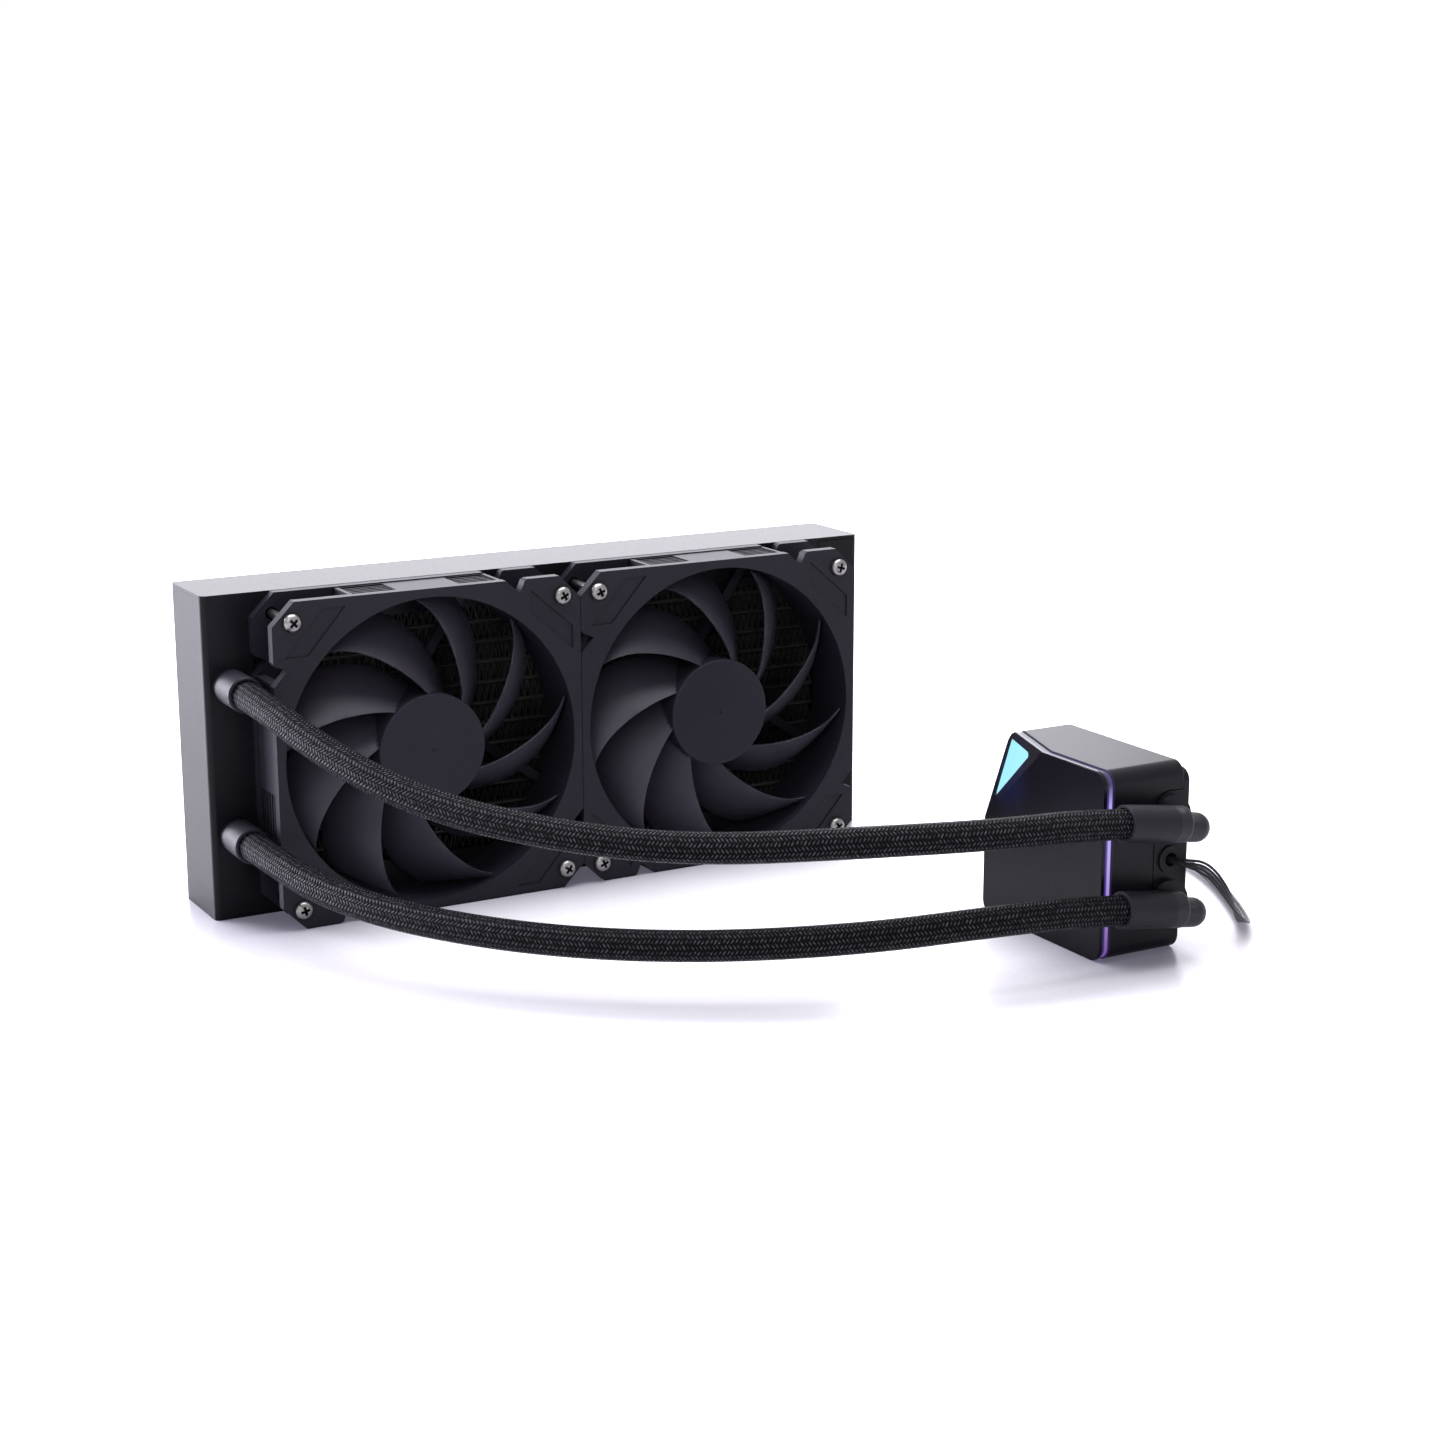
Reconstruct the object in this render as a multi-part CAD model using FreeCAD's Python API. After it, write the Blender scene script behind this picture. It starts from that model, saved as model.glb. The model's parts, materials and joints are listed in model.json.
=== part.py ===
import FreeCAD, Part
import math
import os

from FreeCAD import Vector

# All in one liquid cooler for a computer processor: a two-fan radiator that stands on its long
# edge, a pump head that stands beside it, and the two hoses that join them.
# Millimetres, +X along the radiator to the right, +Y from the fans to the back, +Z up.
# The origin is the centre of the radiator's underside.

# Fan size, which the radiator's length and height follow
fan_size = 119.8
fan_gap = 0.2
fan_depth = 25.0
fan_hole_inset = 7.4
fan_pitch = fan_size + fan_gap
fan_hole_spacing = fan_size - 2 * fan_hole_inset

# Radiator
tank_overhang = 17.0
radiator_length = 2 * fan_pitch + 2 * tank_overhang
radiator_height = fan_size + fan_gap
radiator_depth = 34.0
tank_width = 18.5
tank_wall = 1.5
tank_edge_radius = 2.2
rail_sheet = 1.2
rail_hole_margin = 5.9
rail_flange_height = (radiator_height - fan_hole_spacing) / 2 + rail_hole_margin
header_sheet = 1.5
core_depth = radiator_depth - 7.0
core_margin = 12.9
tube_count = 11
tube_thickness = 1.8
tube_inset = 0.5
tube_wall = 0.35
fin_row_height = (radiator_height - 2 * core_margin - tube_count * tube_thickness) / (tube_count + 1)
fin_pitch = 14.6
fin_sheet = 0.45
side_plate_sheet = 1.0
baffle_sheet = 1.5
slot_clearance = 0.05

# Hose ports on the left tank
port_inset = 9.2
inlet_port_drop = 33.2
port_x = port_inset - radiator_length / 2
inlet_port_z = radiator_height - inlet_port_drop
outlet_port_z = 31.5
port_base_radius = 6.4
port_base_length = 3.5
port_spigot_radius = 5.1
barb_radius = 3.7
barb_rib = 0.35
barb_length = 12.0
barb_bore_radius = 2.5
port_collar_length = 14.5

# Hose, sold as a rubber tube with a braided sleeve bonded on
hose_radius = 5.3
collar_gap = 0.15
collar_radius = 6.5
barb_gap = 0.1

# Fans
fan_flange = 4.2
fan_corner_cut = 8.5
fan_hole_radius = 2.25
duct_margin = 3.2
duct_radius = fan_size / 2 - duct_margin
duct_wall = 1.9
panel_start = -28.8
panel_end = 30.4
panel_inset = 0.4
panel_thickness = 4.0
window_places = [(-27.2, -10.5), (13.8, 29.0)]
window_depth = 0.8
rib_pitch = 2.7
rib_width = 0.8
notch_start = 30.0
notch_depth = 5.1
notch_end = 24.6
groove_depth = 0.5
hub_radius = 20.75
hub_wall = 1.4
hub_face_inset = 1.2
hub_height = 18.0
hub_edge_radius = 0.8
hub_mark_radius = 0.9
hub_mark_depth = 0.3
blade_count = 9
blade_tip_gap = 1.1
blade_tip_radius = duct_radius - blade_tip_gap
left_rotor_turn = 20.6
blade_thickness = 1.7
blade_edge_thickness = 0.8
motor_base_radius = 20.5
motor_base_thickness = 2.4
strut_width = 3.4
strut_thickness = 3.2
strut_lean = 35.0
shaft_radius = 1.5
bearing_clearance = 0.06
bearing_radius = 3.15
bearing_seat_clearance = 0.03
bearing_tube_wall = 1.5
yoke_clearance = 0.05
yoke_sheet = 1.0
yoke_length = hub_height - 5.0
magnet_thickness = 1.6
magnet_length = yoke_length - 3.0
magnet_inset = 1.9
bearing_length = 11.5
bearing_tube_length = 14.0
stator_air_gap = 1.0
stator_height = 7.0
board_thickness = 1.2
board_radius = motor_base_radius - 3.2

# Screws that hold the fans
screw_radius = 1.55
screw_head_radius = 3.4
screw_head_height = 2.4
screw_reach = 4.0
screw_edge_radius = 0.9
thread_clearance = 0.05

# Pump head: a block with one corner cut back by a slanting facet
head_x = 112.0
head_front_y = -214.2
head_width = 69.5
head_height = 67.6
head_depth = 34.4
head_corner_radius = 5.2
facet_across = head_width - 33.8
facet_up = head_height - 31.6
facet_depth = 10.9
window_corners = [(2.6, 2.8), (22.6, 1.6), (4.1, 22.6)]
window_corner_radius = 1.2
plate_thickness = 2.6
light_thickness = 1.4
light_inset = 0.6
light_ring_width = 4.0
head_wall = 2.0
window_inset = 0.5

# Port block in the side of the head
block_width = 12.1
block_recess = 0.1
block_gap = 0.3
block_margin = 9.5
block_corner_radius = 6.0
back_rim_depth = 2.6
back_rim_low = 8.2
back_rim_drop = 2.8
back_rim_radius = 4.5
swivel_from_back = 6.65
upper_swivel_inset = 18.9
lower_swivel_inset = 18.2
swivel_rise = head_height / 2 - upper_swivel_inset
swivel_fall = head_height / 2 - lower_swivel_inset
swivel_reach = 9.8
swivel_boss_radius = 8.4
swivel_boss_reach = 2.6
post_radius = 4.7
post_clearance = 0.08
post_insert = 12.0
seal_section = 1.2
elbow_tilt = 8.0
elbow_shoulder = 0.8
elbow_body_length = 6.4
elbow_knob_radius = 5.2
elbow_knob_reach = 4.3
elbow_knob_drop = 1.1
elbow_body_round = 1.8
elbow_knob_round = 4.9
elbow_collar_length = 20.2

# Pump motor, on the head's centre line
board_width = head_width - 13.5
board_height = head_height - 11.6
board_facet_margin = 6.0
can_radius = 13.0
can_wall = 1.0
can_flange_radius = (head_height - 19.6) / 2
can_flange_thickness = 2.0
can_length = 12.4
motor_stator_radius = can_flange_radius - 2.5
motor_stator_length = 8.6
motor_stator_ring = 2.5
motor_pole_width = 6.8
can_flange_width = 6.5
chamber_radius = can_flange_radius - can_flange_width
chamber_depth = 6.0
body_thickness = 14.8
impeller_radius = chamber_radius - 1.5
impeller_disc = 1.4
impeller_vane_height = 2.6
impeller_vanes = 7
impeller_vane_start = 6.0
impeller_vane_turn = 28
impeller_vane_width = 1.2
impeller_vane_inset = 0.8
impeller_rise = 0.6
rotor_sleeve_radius = 7.0
rotor_radius = 11.2
rotor_length = 9.5
pump_shaft_radius = 1.25
pump_bush_radius = 2.6
shaft_seat = 1.6

# Cold plate
plate_size = head_height - 19.6
cold_plate_thickness = 2.6
cold_plate_proud = 0.4
plate_seat_gap = 0.2
fin_block_size = plate_size - 21.0
fin_block_height = 2.4
cold_fin_count = 11
cold_fin_gap = 1.2
gasket_size = plate_size - 12.0
gasket_section = 1.6
gasket_height = 1.2
gasket_clearance = 0.1
plate_screw_spacing = plate_size - 6.0
plate_screw_radius = 1.4
plate_screw_length = 7.0
plate_screw_head_radius = 2.4
plate_screw_head_height = 1.2

# Pump lead
grommet_from_back = 4.9
grommet_drop = 0.4
grommet_radius = 5.0
grommet_length = 3.6
grommet_proud = 0.8
lead_radius = 2.4
lead_clearance = 0.1
coil_centre = (186.0, -112.0)
coil_radius = 29.0
coil_inner_radius = 19.2
coil_height = 5.0
connector_size = (12.6, 10.2, 6.0)
connector_slot = 1.4
contact_pitch = 2.54
plug_inset = 0.8
plug_offset = 3.7

# Sizes that follow from the ones above
radiator_front = -radiator_depth / 2
radiator_back = radiator_depth / 2
fan_front = radiator_front - fan_depth
fan_centre_z = radiator_height / 2
tank_inner_x = radiator_length / 2 - tank_width
core_height = tube_count * tube_thickness + (tube_count + 1) * fin_row_height
core_low = radiator_height / 2 - core_height / 2
hole_offset = fan_hole_spacing / 2
head_back = head_x + head_depth
head_mid_y = head_front_y + head_width / 2
head_mid_z = head_height / 2
head_far_y = head_front_y + head_width
swivel_x = head_back - swivel_from_back
swivel_y = head_front_y - swivel_reach
upper_swivel_z = head_mid_z + swivel_rise
lower_swivel_z = head_mid_z - swivel_fall
grommet_x = head_back - grommet_from_back
grommet_z = head_mid_z - grommet_drop
rim_back = head_back + back_rim_depth
rim_high = head_height - back_rim_drop
shell_start = plate_thickness + light_thickness
wall_inner_x = head_x + shell_start + head_wall
board_x = wall_inner_x
block_face_y = head_front_y + block_recess
cold_plate_x = rim_back + cold_plate_proud - cold_plate_thickness
body_x = cold_plate_x - body_thickness
elbow_axis = Vector(-math.cos(math.radians(elbow_tilt)), 0, math.sin(math.radians(elbow_tilt)))
hose_start_gap = 0.1

# Points of the hoses' and the lead's routes, from the radiator or the grommet outwards
upper_route = [
    (port_x, radiator_front - port_base_length - hose_start_gap, inlet_port_z),
    (port_x, -50.8, inlet_port_z),
    (-118.3, -87.4, 75.5),
    (-97.2, -124.2, 63.2),
    (-63.1, -159.7, 56.5),
    (-28.5, -184.6, 53.7),
    (18.1, -207.5, 55.2),
    (64.9, -220.3, 54.6),
]
lower_route = [
    (port_x, radiator_front - port_base_length - hose_start_gap, outlet_port_z),
    (port_x, -50.8, outlet_port_z),
    (-120.0, -86.0, 26.6),
    (-102.0, -119.0, 23.4),
    (-70.0, -154.0, 20.9),
    (-29.5, -184.0, 20.6),
    (18.1, -207.8, 22.5),
    (64.9, -220.6, 24.9),
]
elbow_run_start = 40.4
lead_route = [
    (grommet_x, -212.5, grommet_z),
    (grommet_x, -220.3, grommet_z),
    (150.3, -223.4, 31.6),
    (160.6, -222.6, 20.6),
    (170.0, -219.4, 8.6),
    (181.5, -209.5, 2.5),
    (192.8, -190.2, 2.5),
    (203.5, -168.5, 2.5),
    (210.5, -150.5, 2.5),
    (213.8, -135.0, 2.6),
    (211.5, -114.0, 2.8),
]

parts = {}


def box(low, high):
    return Part.makeBox(high[0] - low[0], high[1] - low[1], high[2] - low[2], Vector(*low))


def rod(radius, start, end):
    """A cylinder between two points."""
    start = Vector(*start)
    along = Vector(*end) - start
    return Part.makeCylinder(radius, along.Length, start, along)


def tube(outer, inner, start, end):
    return rod(outer, start, end).cut(rod(inner, start, end))


def polygon(points):
    loop = [Vector(*p) for p in points]
    return Part.makePolygon(loop + [loop[0]])


def prism(points, along):
    return Part.Face(polygon(points)).extrude(Vector(*along))


def fuse(shapes):
    shapes = list(shapes)
    joined = shapes[0].fuse(shapes[1:]) if len(shapes) > 1 else shapes[0]
    return joined.removeSplitter()


def group(shapes):
    return Part.makeCompound(list(shapes))


def rounded_bar(low, high, radius, axis):
    """A box whose four edges along one axis are rounded."""
    body = box(low, high)
    kept = [e for e in body.Edges if abs(getattr(e.Curve.Direction, axis)) > 0.9]
    return body.makeFillet(radius, kept)


def turned(shape, centre, axis, angle):
    copy = shape.copy()
    copy.rotate(Vector(*centre), Vector(*axis), angle)
    return copy


def moved(shape, step):
    copy = shape.copy()
    copy.translate(Vector(*step))
    return copy


# Radiator tanks: brazed boxes with their open side to the core
def make_tank(side):
    outer_x = side * radiator_length / 2
    inner_x = side * tank_inner_x
    low_z = rail_sheet
    high_z = radiator_height - rail_sheet
    shell = box((min(outer_x, inner_x), radiator_front, low_z), (max(outer_x, inner_x), radiator_back, high_z))
    corners = [e for e in shell.Edges if abs(e.Vertexes[0].X - outer_x) < 0.01
               and abs(e.Vertexes[1].X - outer_x) < 0.01 and abs(e.Curve.Direction.z) > 0.9]
    shell = shell.makeFillet(tank_edge_radius, corners)
    cavity_x = outer_x - side * tank_wall
    cavity = box((min(cavity_x, inner_x), radiator_front + tank_wall, low_z + tank_wall),
                 (max(cavity_x, inner_x), radiator_back - tank_wall, high_z - tank_wall))
    return shell.cut(cavity)


def flat_tube_outline(z, x_from, x_to, grow):
    """A flat tube with round noses, as a solid between two x positions."""
    half = core_depth / 2 - tube_inset
    nose = tube_thickness / 2 + grow
    web = box((x_from, -half + tube_thickness / 2, z - nose), (x_to, half - tube_thickness / 2, z + nose))
    noses = [rod(nose, (x_from, s * (half - tube_thickness / 2), z), (x_to, s * (half - tube_thickness / 2), z))
             for s in (-1, 1)]
    return fuse([web] + noses)


def tube_heights():
    step = tube_thickness + fin_row_height
    first = core_low + fin_row_height + tube_thickness / 2
    return [first + i * step for i in range(tube_count)]


def make_header(side):
    outer = side * (tank_inner_x + header_sheet)
    inner = side * tank_inner_x
    inset = tank_wall + slot_clearance
    plate = box((min(outer, inner), radiator_front + inset, rail_sheet + inset),
                (max(outer, inner), radiator_back - inset, radiator_height - rail_sheet - inset))
    slots = [flat_tube_outline(z, min(outer, inner) - 1, max(outer, inner) + 1, slot_clearance)
             for z in tube_heights()]
    return plate.cut(slots)


def make_flat_tubes():
    reach = tank_inner_x + header_sheet
    tubes = []
    for z in tube_heights():
        outline = flat_tube_outline(z, -reach, reach, 0)
        half = core_depth / 2 - tube_inset - tube_thickness / 2
        bore_half = tube_thickness / 2 - tube_wall
        bore = box((-reach - 1, -half, z - bore_half), (reach + 1, half, z + bore_half))
        tubes.append(outline.cut(bore))
    return group(tubes)


def make_fin_strips():
    """One zigzag strip of sheet in each row between the flat tubes."""
    count = int((2 * tank_inner_x - 2) / (fin_pitch / 2))
    start = -count * fin_pitch / 4
    strips = []
    for row in range(tube_count + 1):
        low = core_low + row * (fin_row_height + tube_thickness)
        xs = [start + i * fin_pitch / 2 for i in range(count + 1)]
        top = [(x, -core_depth / 2, low + (fin_row_height if i % 2 else fin_sheet)) for i, x in enumerate(xs)]
        bottom = [(x, -core_depth / 2, low + (fin_row_height - fin_sheet if i % 2 else 0))
                  for i, x in enumerate(xs)]
        strips.append(prism(top + bottom[::-1], (0, core_depth, 0)))
    return group(strips)


def make_side_plates():
    gap = core_low - side_plate_sheet
    plates = []
    for low in (gap, radiator_height - gap - side_plate_sheet):
        plates.append(box((-tank_inner_x, radiator_front + rail_sheet, low),
                          (tank_inner_x, radiator_back - rail_sheet, low + side_plate_sheet)))
    return group(plates)


def make_rail(top):
    """A channel of sheet steel along the top or the bottom, with the threaded holes in its flanges."""
    half = radiator_length / 2
    web = box((-half, radiator_front, 0), (half, radiator_back, rail_sheet))
    web = web.makeFillet(tank_edge_radius, [e for e in web.Edges if abs(e.Curve.Direction.z) > 0.9])
    flanges = []
    for y in (radiator_front, radiator_back - rail_sheet):
        flanges.append(box((-tank_inner_x, y, 0), (tank_inner_x, y + rail_sheet, rail_flange_height)))
    rail = fuse([web] + flanges)
    z = (radiator_height - fan_hole_spacing) / 2
    holes = []
    for fan in (-1, 1):
        for side in (-1, 1):
            x = fan * fan_pitch / 2 + side * hole_offset
            holes.append(rod(screw_radius + thread_clearance, (x, radiator_front - 1, z), (x, radiator_back + 1, z)))
    rail = rail.cut(holes)
    if top:
        rail = turned(rail, (0, 0, radiator_height / 2), (0, 1, 0), 180)
    return rail


# Hose fittings: a seat, a ribbed barb inside the hose and a bore right through
def revolved(profile, start, along):
    """A solid of revolution from (distance, radius) corners, set on a line in space."""
    face = Part.Face(polygon([(radius, 0, distance) for distance, radius in profile]))
    body = face.revolve(Vector(0, 0, 0), Vector(0, 0, 1), 360)
    body.Placement = FreeCAD.Placement(Vector(*start), FreeCAD.Rotation(Vector(0, 0, 1), Vector(*along)))
    return body


def barb_profile(start):
    """Corners of the ribbed spigot that the hose is pushed on to, from its root to its tip."""
    core = barb_radius - barb_rib
    pitch = barb_length / 4
    corners = [(start, core)]
    for i in range(1, 4):
        low = start + i * pitch
        corners += [(low, core), (low, barb_radius), (low + pitch * 0.7, core)]
    return corners + [(start + barb_length, core)]


def make_port_fitting(z):
    """Seat, spigot and barb turned in one piece, with a bore right through."""
    inner = tank_wall + 1
    base_end = inner + port_base_length
    profile = [(0, barb_bore_radius), (0, port_spigot_radius), (inner, port_spigot_radius),
               (inner, port_base_radius), (base_end, port_base_radius)]
    profile += barb_profile(base_end) + [(base_end + barb_length, barb_bore_radius)]
    return revolved(profile, (port_x, radiator_front + inner, z), (0, -1, 0))


def make_collar(start, along, length):
    body = rod(collar_radius, start, start + along * length)
    rim = [e for e in body.Edges if e.Closed and (e.CenterOfMass - (start + along * length)).Length < 0.01]
    body = body.makeChamfer(0.4, rim)
    return body.cut(rod(hose_radius + collar_gap, start - along, start + along * (length + 1)))


# Routes: straight runs joined by tangent arcs as large as the runs allow
def route_wire(points, name):
    points = [Vector(*p) for p in points]
    edges = []
    radii = []
    last = points[0]
    for before, corner, after in zip(points, points[1:], points[2:]):
        back = before - corner
        ahead = after - corner
        run = min(back.Length, ahead.Length)
        back.normalize()
        ahead.normalize()
        turn = math.pi - back.getAngle(ahead)
        trim = 0.45 * run
        radii.append(trim / math.tan(turn / 2))
        start = corner + back * trim
        end = corner + ahead * trim
        bisector = back + ahead
        bisector.normalize()
        to_centre = math.hypot(radii[-1], trim)
        middle = corner + bisector * (to_centre - radii[-1])
        edges.append(Part.LineSegment(last, start).toShape())
        edges.append(Part.Arc(start, middle, end).toShape())
        last = end
    edges.append(Part.LineSegment(last, points[-1]).toShape())
    wire = Part.Wire(edges)
    print(name, "length", round(wire.Length, 1), "radii", [round(r, 1) for r in radii])
    return wire


def swept(wire, radius, name):
    first = wire.Edges[0]
    ring = Part.Wire(Part.makeCircle(radius, first.valueAt(first.FirstParameter), first.tangentAt(0)))
    body = wire.makePipeShell([ring], True, False)
    print(name, "volume over section times length", round(body.Volume / (math.pi * radius ** 2 * wire.Length), 4))
    return body


# Fans
def flange_outline(y):
    """One flange seen from the front: corners cut off and one slanting notch in each side."""
    half = fan_size / 2
    cut = fan_corner_cut
    quarter = [(-half + cut, half), (half - notch_start, half), (half - notch_end, half - notch_depth),
               (half - notch_end + 1.6, half - 1.9), (half - notch_end + 2.0, half - 0.7),
               (half - notch_end + 3.2, half)]
    points = []
    for turn in range(4):
        c = (1, 0, -1, 0)[turn]
        s = (0, -1, 0, 1)[turn]
        for x, z in quarter:
            points.append((x * c - z * s, y, x * s + z * c))
        x, z = half - cut, half
        points.append((x * c - z * s, y, x * s + z * c))
    return points


def around(shape, turns=4):
    """Copies of a shape turned about the fan's axis, which is the local Y axis."""
    return [turned(shape, (0, 0, 0), (0, 1, 0), i * 360.0 / turns) for i in range(turns)]


def rib_places():
    """Where the ribs of a side window start, from front to back."""
    count = int((fan_depth - 2 * fan_flange - 3) / rib_pitch)
    return [fan_flange + 1 + rib_pitch * (i + 0.75) for i in range(count)]


def make_fan_frame():
    half = fan_size / 2
    front = prism(flange_outline(0), (0, fan_flange, 0))
    rear = prism(flange_outline(fan_depth - fan_flange), (0, fan_flange, 0))
    duct = rod(duct_radius + duct_wall, (0, 0, 0), (0, fan_depth, 0))
    outer = half - panel_inset
    panel = box((panel_start, fan_flange, outer - panel_thickness), (panel_end, fan_depth - fan_flange, outer))
    floor = outer - window_depth
    for low, high in window_places:
        window = box((low, fan_flange + 1, floor), (high, fan_depth - fan_flange - 1, outer + 1))
        ribs = [box((low, y, floor - 1), (high, y + rib_width, outer - window_depth / 2))
                for y in rib_places()]
        panel = panel.cut(window.cut(ribs))
    frame = fuse([front, rear, duct] + around(panel))
    frame = frame.cut(rod(duct_radius, (0, -1, 0), (0, fan_depth + 1, 0)))
    groove = prism([(-half + 18.9, 0, half - 3.3), (-half + 27.6, 0, half - 3.3), (-half + 12.9, 0, half - 20.1),
                    (-half + 4.2, 0, half - 20.1)], (0, groove_depth, 0))
    hole = rod(fan_hole_radius, (hole_offset, -1, hole_offset), (hole_offset, fan_depth + 1, hole_offset))
    frame = frame.cut(around(groove) + around(hole))
    base_front = fan_depth - motor_base_thickness
    base = rod(motor_base_radius, (0, base_front, 0), (0, fan_depth - 0.2, 0))
    tube_inner = bearing_radius + bearing_seat_clearance
    tube_outer = tube_inner + bearing_tube_wall
    bearing_tube = rod(tube_outer, (0, base_front - bearing_tube_length, 0), (0, base_front, 0))
    lean = math.radians(strut_lean)
    strut_end = duct_radius + duct_wall / 2
    strut_length = math.sqrt(strut_end ** 2 - (motor_base_radius * math.sin(lean)) ** 2) \
        - motor_base_radius * math.cos(lean)
    strut = box((-strut_width / 2, fan_depth - strut_thickness, motor_base_radius - 2),
                (strut_width / 2, fan_depth - 0.2, motor_base_radius + strut_length))
    struts = around(turned(strut, (0, 0, motor_base_radius), (0, 1, 0), strut_lean))
    frame = fuse([frame, base, bearing_tube] + struts)
    return frame.cut(rod(tube_inner, (0, base_front - bearing_tube_length - 1, 0), (0, base_front, 0)))


# Where a blade's front edge lies at five radii: radius, then degrees around the hub
blade_sweep = [(18.5, -12.0), (27.6, 5.0), (36.0, 15.0), (46.0, 24.5), (58.0, 38.5)]
blade_turn_root = 38.0
blade_turn_tip = 22.0
blade_front_y = 2.4
blade_back_y_root = 18.6
blade_back_y_tip = 21.4


def blade_section(radius, front_angle):
    """A thin cambered profile, flat in the plane square to the blade's middle radius."""
    share = (radius - hub_radius) / (blade_tip_radius - hub_radius)
    turn = blade_turn_root + (blade_turn_tip - blade_turn_root) * share
    back_y = blade_back_y_root + (blade_back_y_tip - blade_back_y_root) * share
    middle = math.radians(front_angle - turn / 2)
    outward = Vector(math.cos(middle), 0, math.sin(middle))
    sideways = Vector(-math.sin(middle), 0, math.cos(middle))
    plane_radius = radius * math.cos(math.radians(turn / 2))
    upper = []
    lower = []
    steps = 4
    for i in range(steps + 1):
        s = i / steps
        angle = math.radians(turn / 2 - turn * (s + 0.16 * s * (1 - s)))
        depth = blade_front_y + (back_y - blade_front_y) * s
        centre = outward * plane_radius + sideways * (plane_radius * math.tan(angle)) + Vector(0, depth, 0)
        slope = math.atan2((back_y - blade_front_y), plane_radius * math.radians(turn))
        normal = sideways * math.sin(slope) + Vector(0, math.cos(slope), 0)
        half = (blade_edge_thickness + (blade_thickness - blade_edge_thickness) * 4 * s * (1 - s)) / 2
        upper.append(centre + normal * half)
        lower.append(centre - normal * half)
    top = Part.BSplineCurve()
    top.interpolate(upper)
    bottom = Part.BSplineCurve()
    bottom.interpolate(lower[::-1])
    edges = [top.toShape(), Part.LineSegment(upper[-1], lower[-1]).toShape(),
             bottom.toShape(), Part.LineSegment(lower[0], upper[0]).toShape()]
    return Part.Wire(edges)


def make_rotor():
    """Hub cup and blades, moulded in one piece."""
    front = hub_face_inset
    hub = rod(hub_radius, (0, front, 0), (0, front + hub_height, 0))
    rim = [e for e in hub.Edges if e.Closed and abs(e.CenterOfMass.y - front) < 0.01]
    hub = hub.makeFillet(hub_edge_radius, rim)
    cavity = rod(hub_radius - hub_wall, (0, front + hub_wall, 0), (0, front + hub_height + 1, 0))
    blade = Part.makeLoft([blade_section(r, a) for r, a in blade_sweep], True, False, False)
    blade = blade.common(rod(blade_tip_radius, (0, -1, 0), (0, fan_depth, 0)))
    blade = blade.cut(rod(hub_radius - hub_wall / 2, (0, -1, 0), (0, fan_depth, 0)))
    shaft_boss = rod(shaft_radius + 2.0, (0, front + hub_wall - 0.2, 0), (0, front + hub_wall + 2.2, 0))
    body = hub.cut(cavity).fuse(shaft_boss)
    body = body.cut([rod(shaft_radius, (0, front + hub_wall - 0.4, 0), (0, front + hub_wall + 3, 0)),
                     rod(hub_mark_radius, (0, front - 1, 0), (0, front + hub_mark_depth, 0))])
    return body.fuse(around(blade, blade_count))


def make_yoke():
    outer = hub_radius - hub_wall - yoke_clearance
    start = hub_face_inset + hub_wall + 0.1
    return tube(outer, outer - yoke_sheet, (0, start, 0), (0, start + yoke_length, 0))


def make_magnet():
    outer = hub_radius - hub_wall - yoke_sheet - 2 * yoke_clearance
    start = hub_face_inset + hub_wall + magnet_inset
    return tube(outer, outer - magnet_thickness, (0, start, 0), (0, start + magnet_length, 0))


def make_fan_shaft():
    start = hub_face_inset + hub_wall - 0.4
    return rod(shaft_radius, (0, start, 0), (0, fan_depth - motor_base_thickness - 0.8, 0))


def make_fan_bearing():
    end = fan_depth - motor_base_thickness
    inner = shaft_radius + bearing_clearance
    return tube(bearing_radius, inner, (0, end - 1.5 - bearing_length, 0), (0, end - 1.5, 0))


def make_fan_board():
    end = fan_depth - motor_base_thickness
    hole = bearing_radius + bearing_seat_clearance + bearing_tube_wall + 0.1
    board = tube(board_radius, hole, (0, end - board_thickness, 0), (0, end, 0))
    return board


def make_fan_stator():
    """Four wound poles around the bearing tube, seated on the board."""
    outer = hub_radius - hub_wall - yoke_sheet - 2 * yoke_clearance - magnet_thickness - stator_air_gap
    hole = bearing_radius + bearing_seat_clearance + bearing_tube_wall + 0.1
    end = fan_depth - motor_base_thickness - board_thickness
    start = end - stator_height
    ring = rod(hole + 2.0, (0, start, 0), (0, end, 0))
    arm = box((-3.2, start, 0), (3.2, end, outer - 1.0))
    shoe = rod(outer, (0, start + 1, 0), (0, end - 1, 0)).cut(rod(outer - 1.6, (0, start, 0), (0, end, 0)))
    wedge = prism([(0, start, 0), (-outer, start, outer * 1.4), (outer, start, outer * 1.4)],
                  (0, stator_height, 0))
    shoe = shoe.common(wedge)
    body = fuse([ring] + around(arm) + around(shoe))
    return body.cut(rod(hole, (0, start - 1, 0), (0, end + 1, 0)))


fan_pieces = {
    "frame": make_fan_frame(),
    "rotor": make_rotor(),
    "rotor_yoke": make_yoke(),
    "rotor_magnet": make_magnet(),
    "shaft": make_fan_shaft(),
    "bearing": make_fan_bearing(),
    "board": make_fan_board(),
    "stator": make_fan_stator(),
}
for side, name in ((-1, "left_fan"), (1, "right_fan")):
    for piece, shape in fan_pieces.items():
        if side < 0 and piece == "rotor":
            shape = turned(shape, (0, 0, 0), (0, 1, 0), left_rotor_turn)
        parts[name + "_" + piece] = moved(shape, (side * fan_pitch / 2, fan_front, fan_centre_z))


def make_fan_screw(x, z):
    seat = fan_front
    head = rod(screw_head_radius, (x, seat - screw_head_height, z), (x, seat, z))
    rim = [e for e in head.Edges if e.Closed and abs(e.CenterOfMass.y - seat + screw_head_height) < 0.01]
    head = head.makeFillet(screw_edge_radius, rim)
    shank = rod(screw_radius, (x, seat, z), (x, radiator_front + screw_reach, z))
    return head.fuse(shank)


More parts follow.
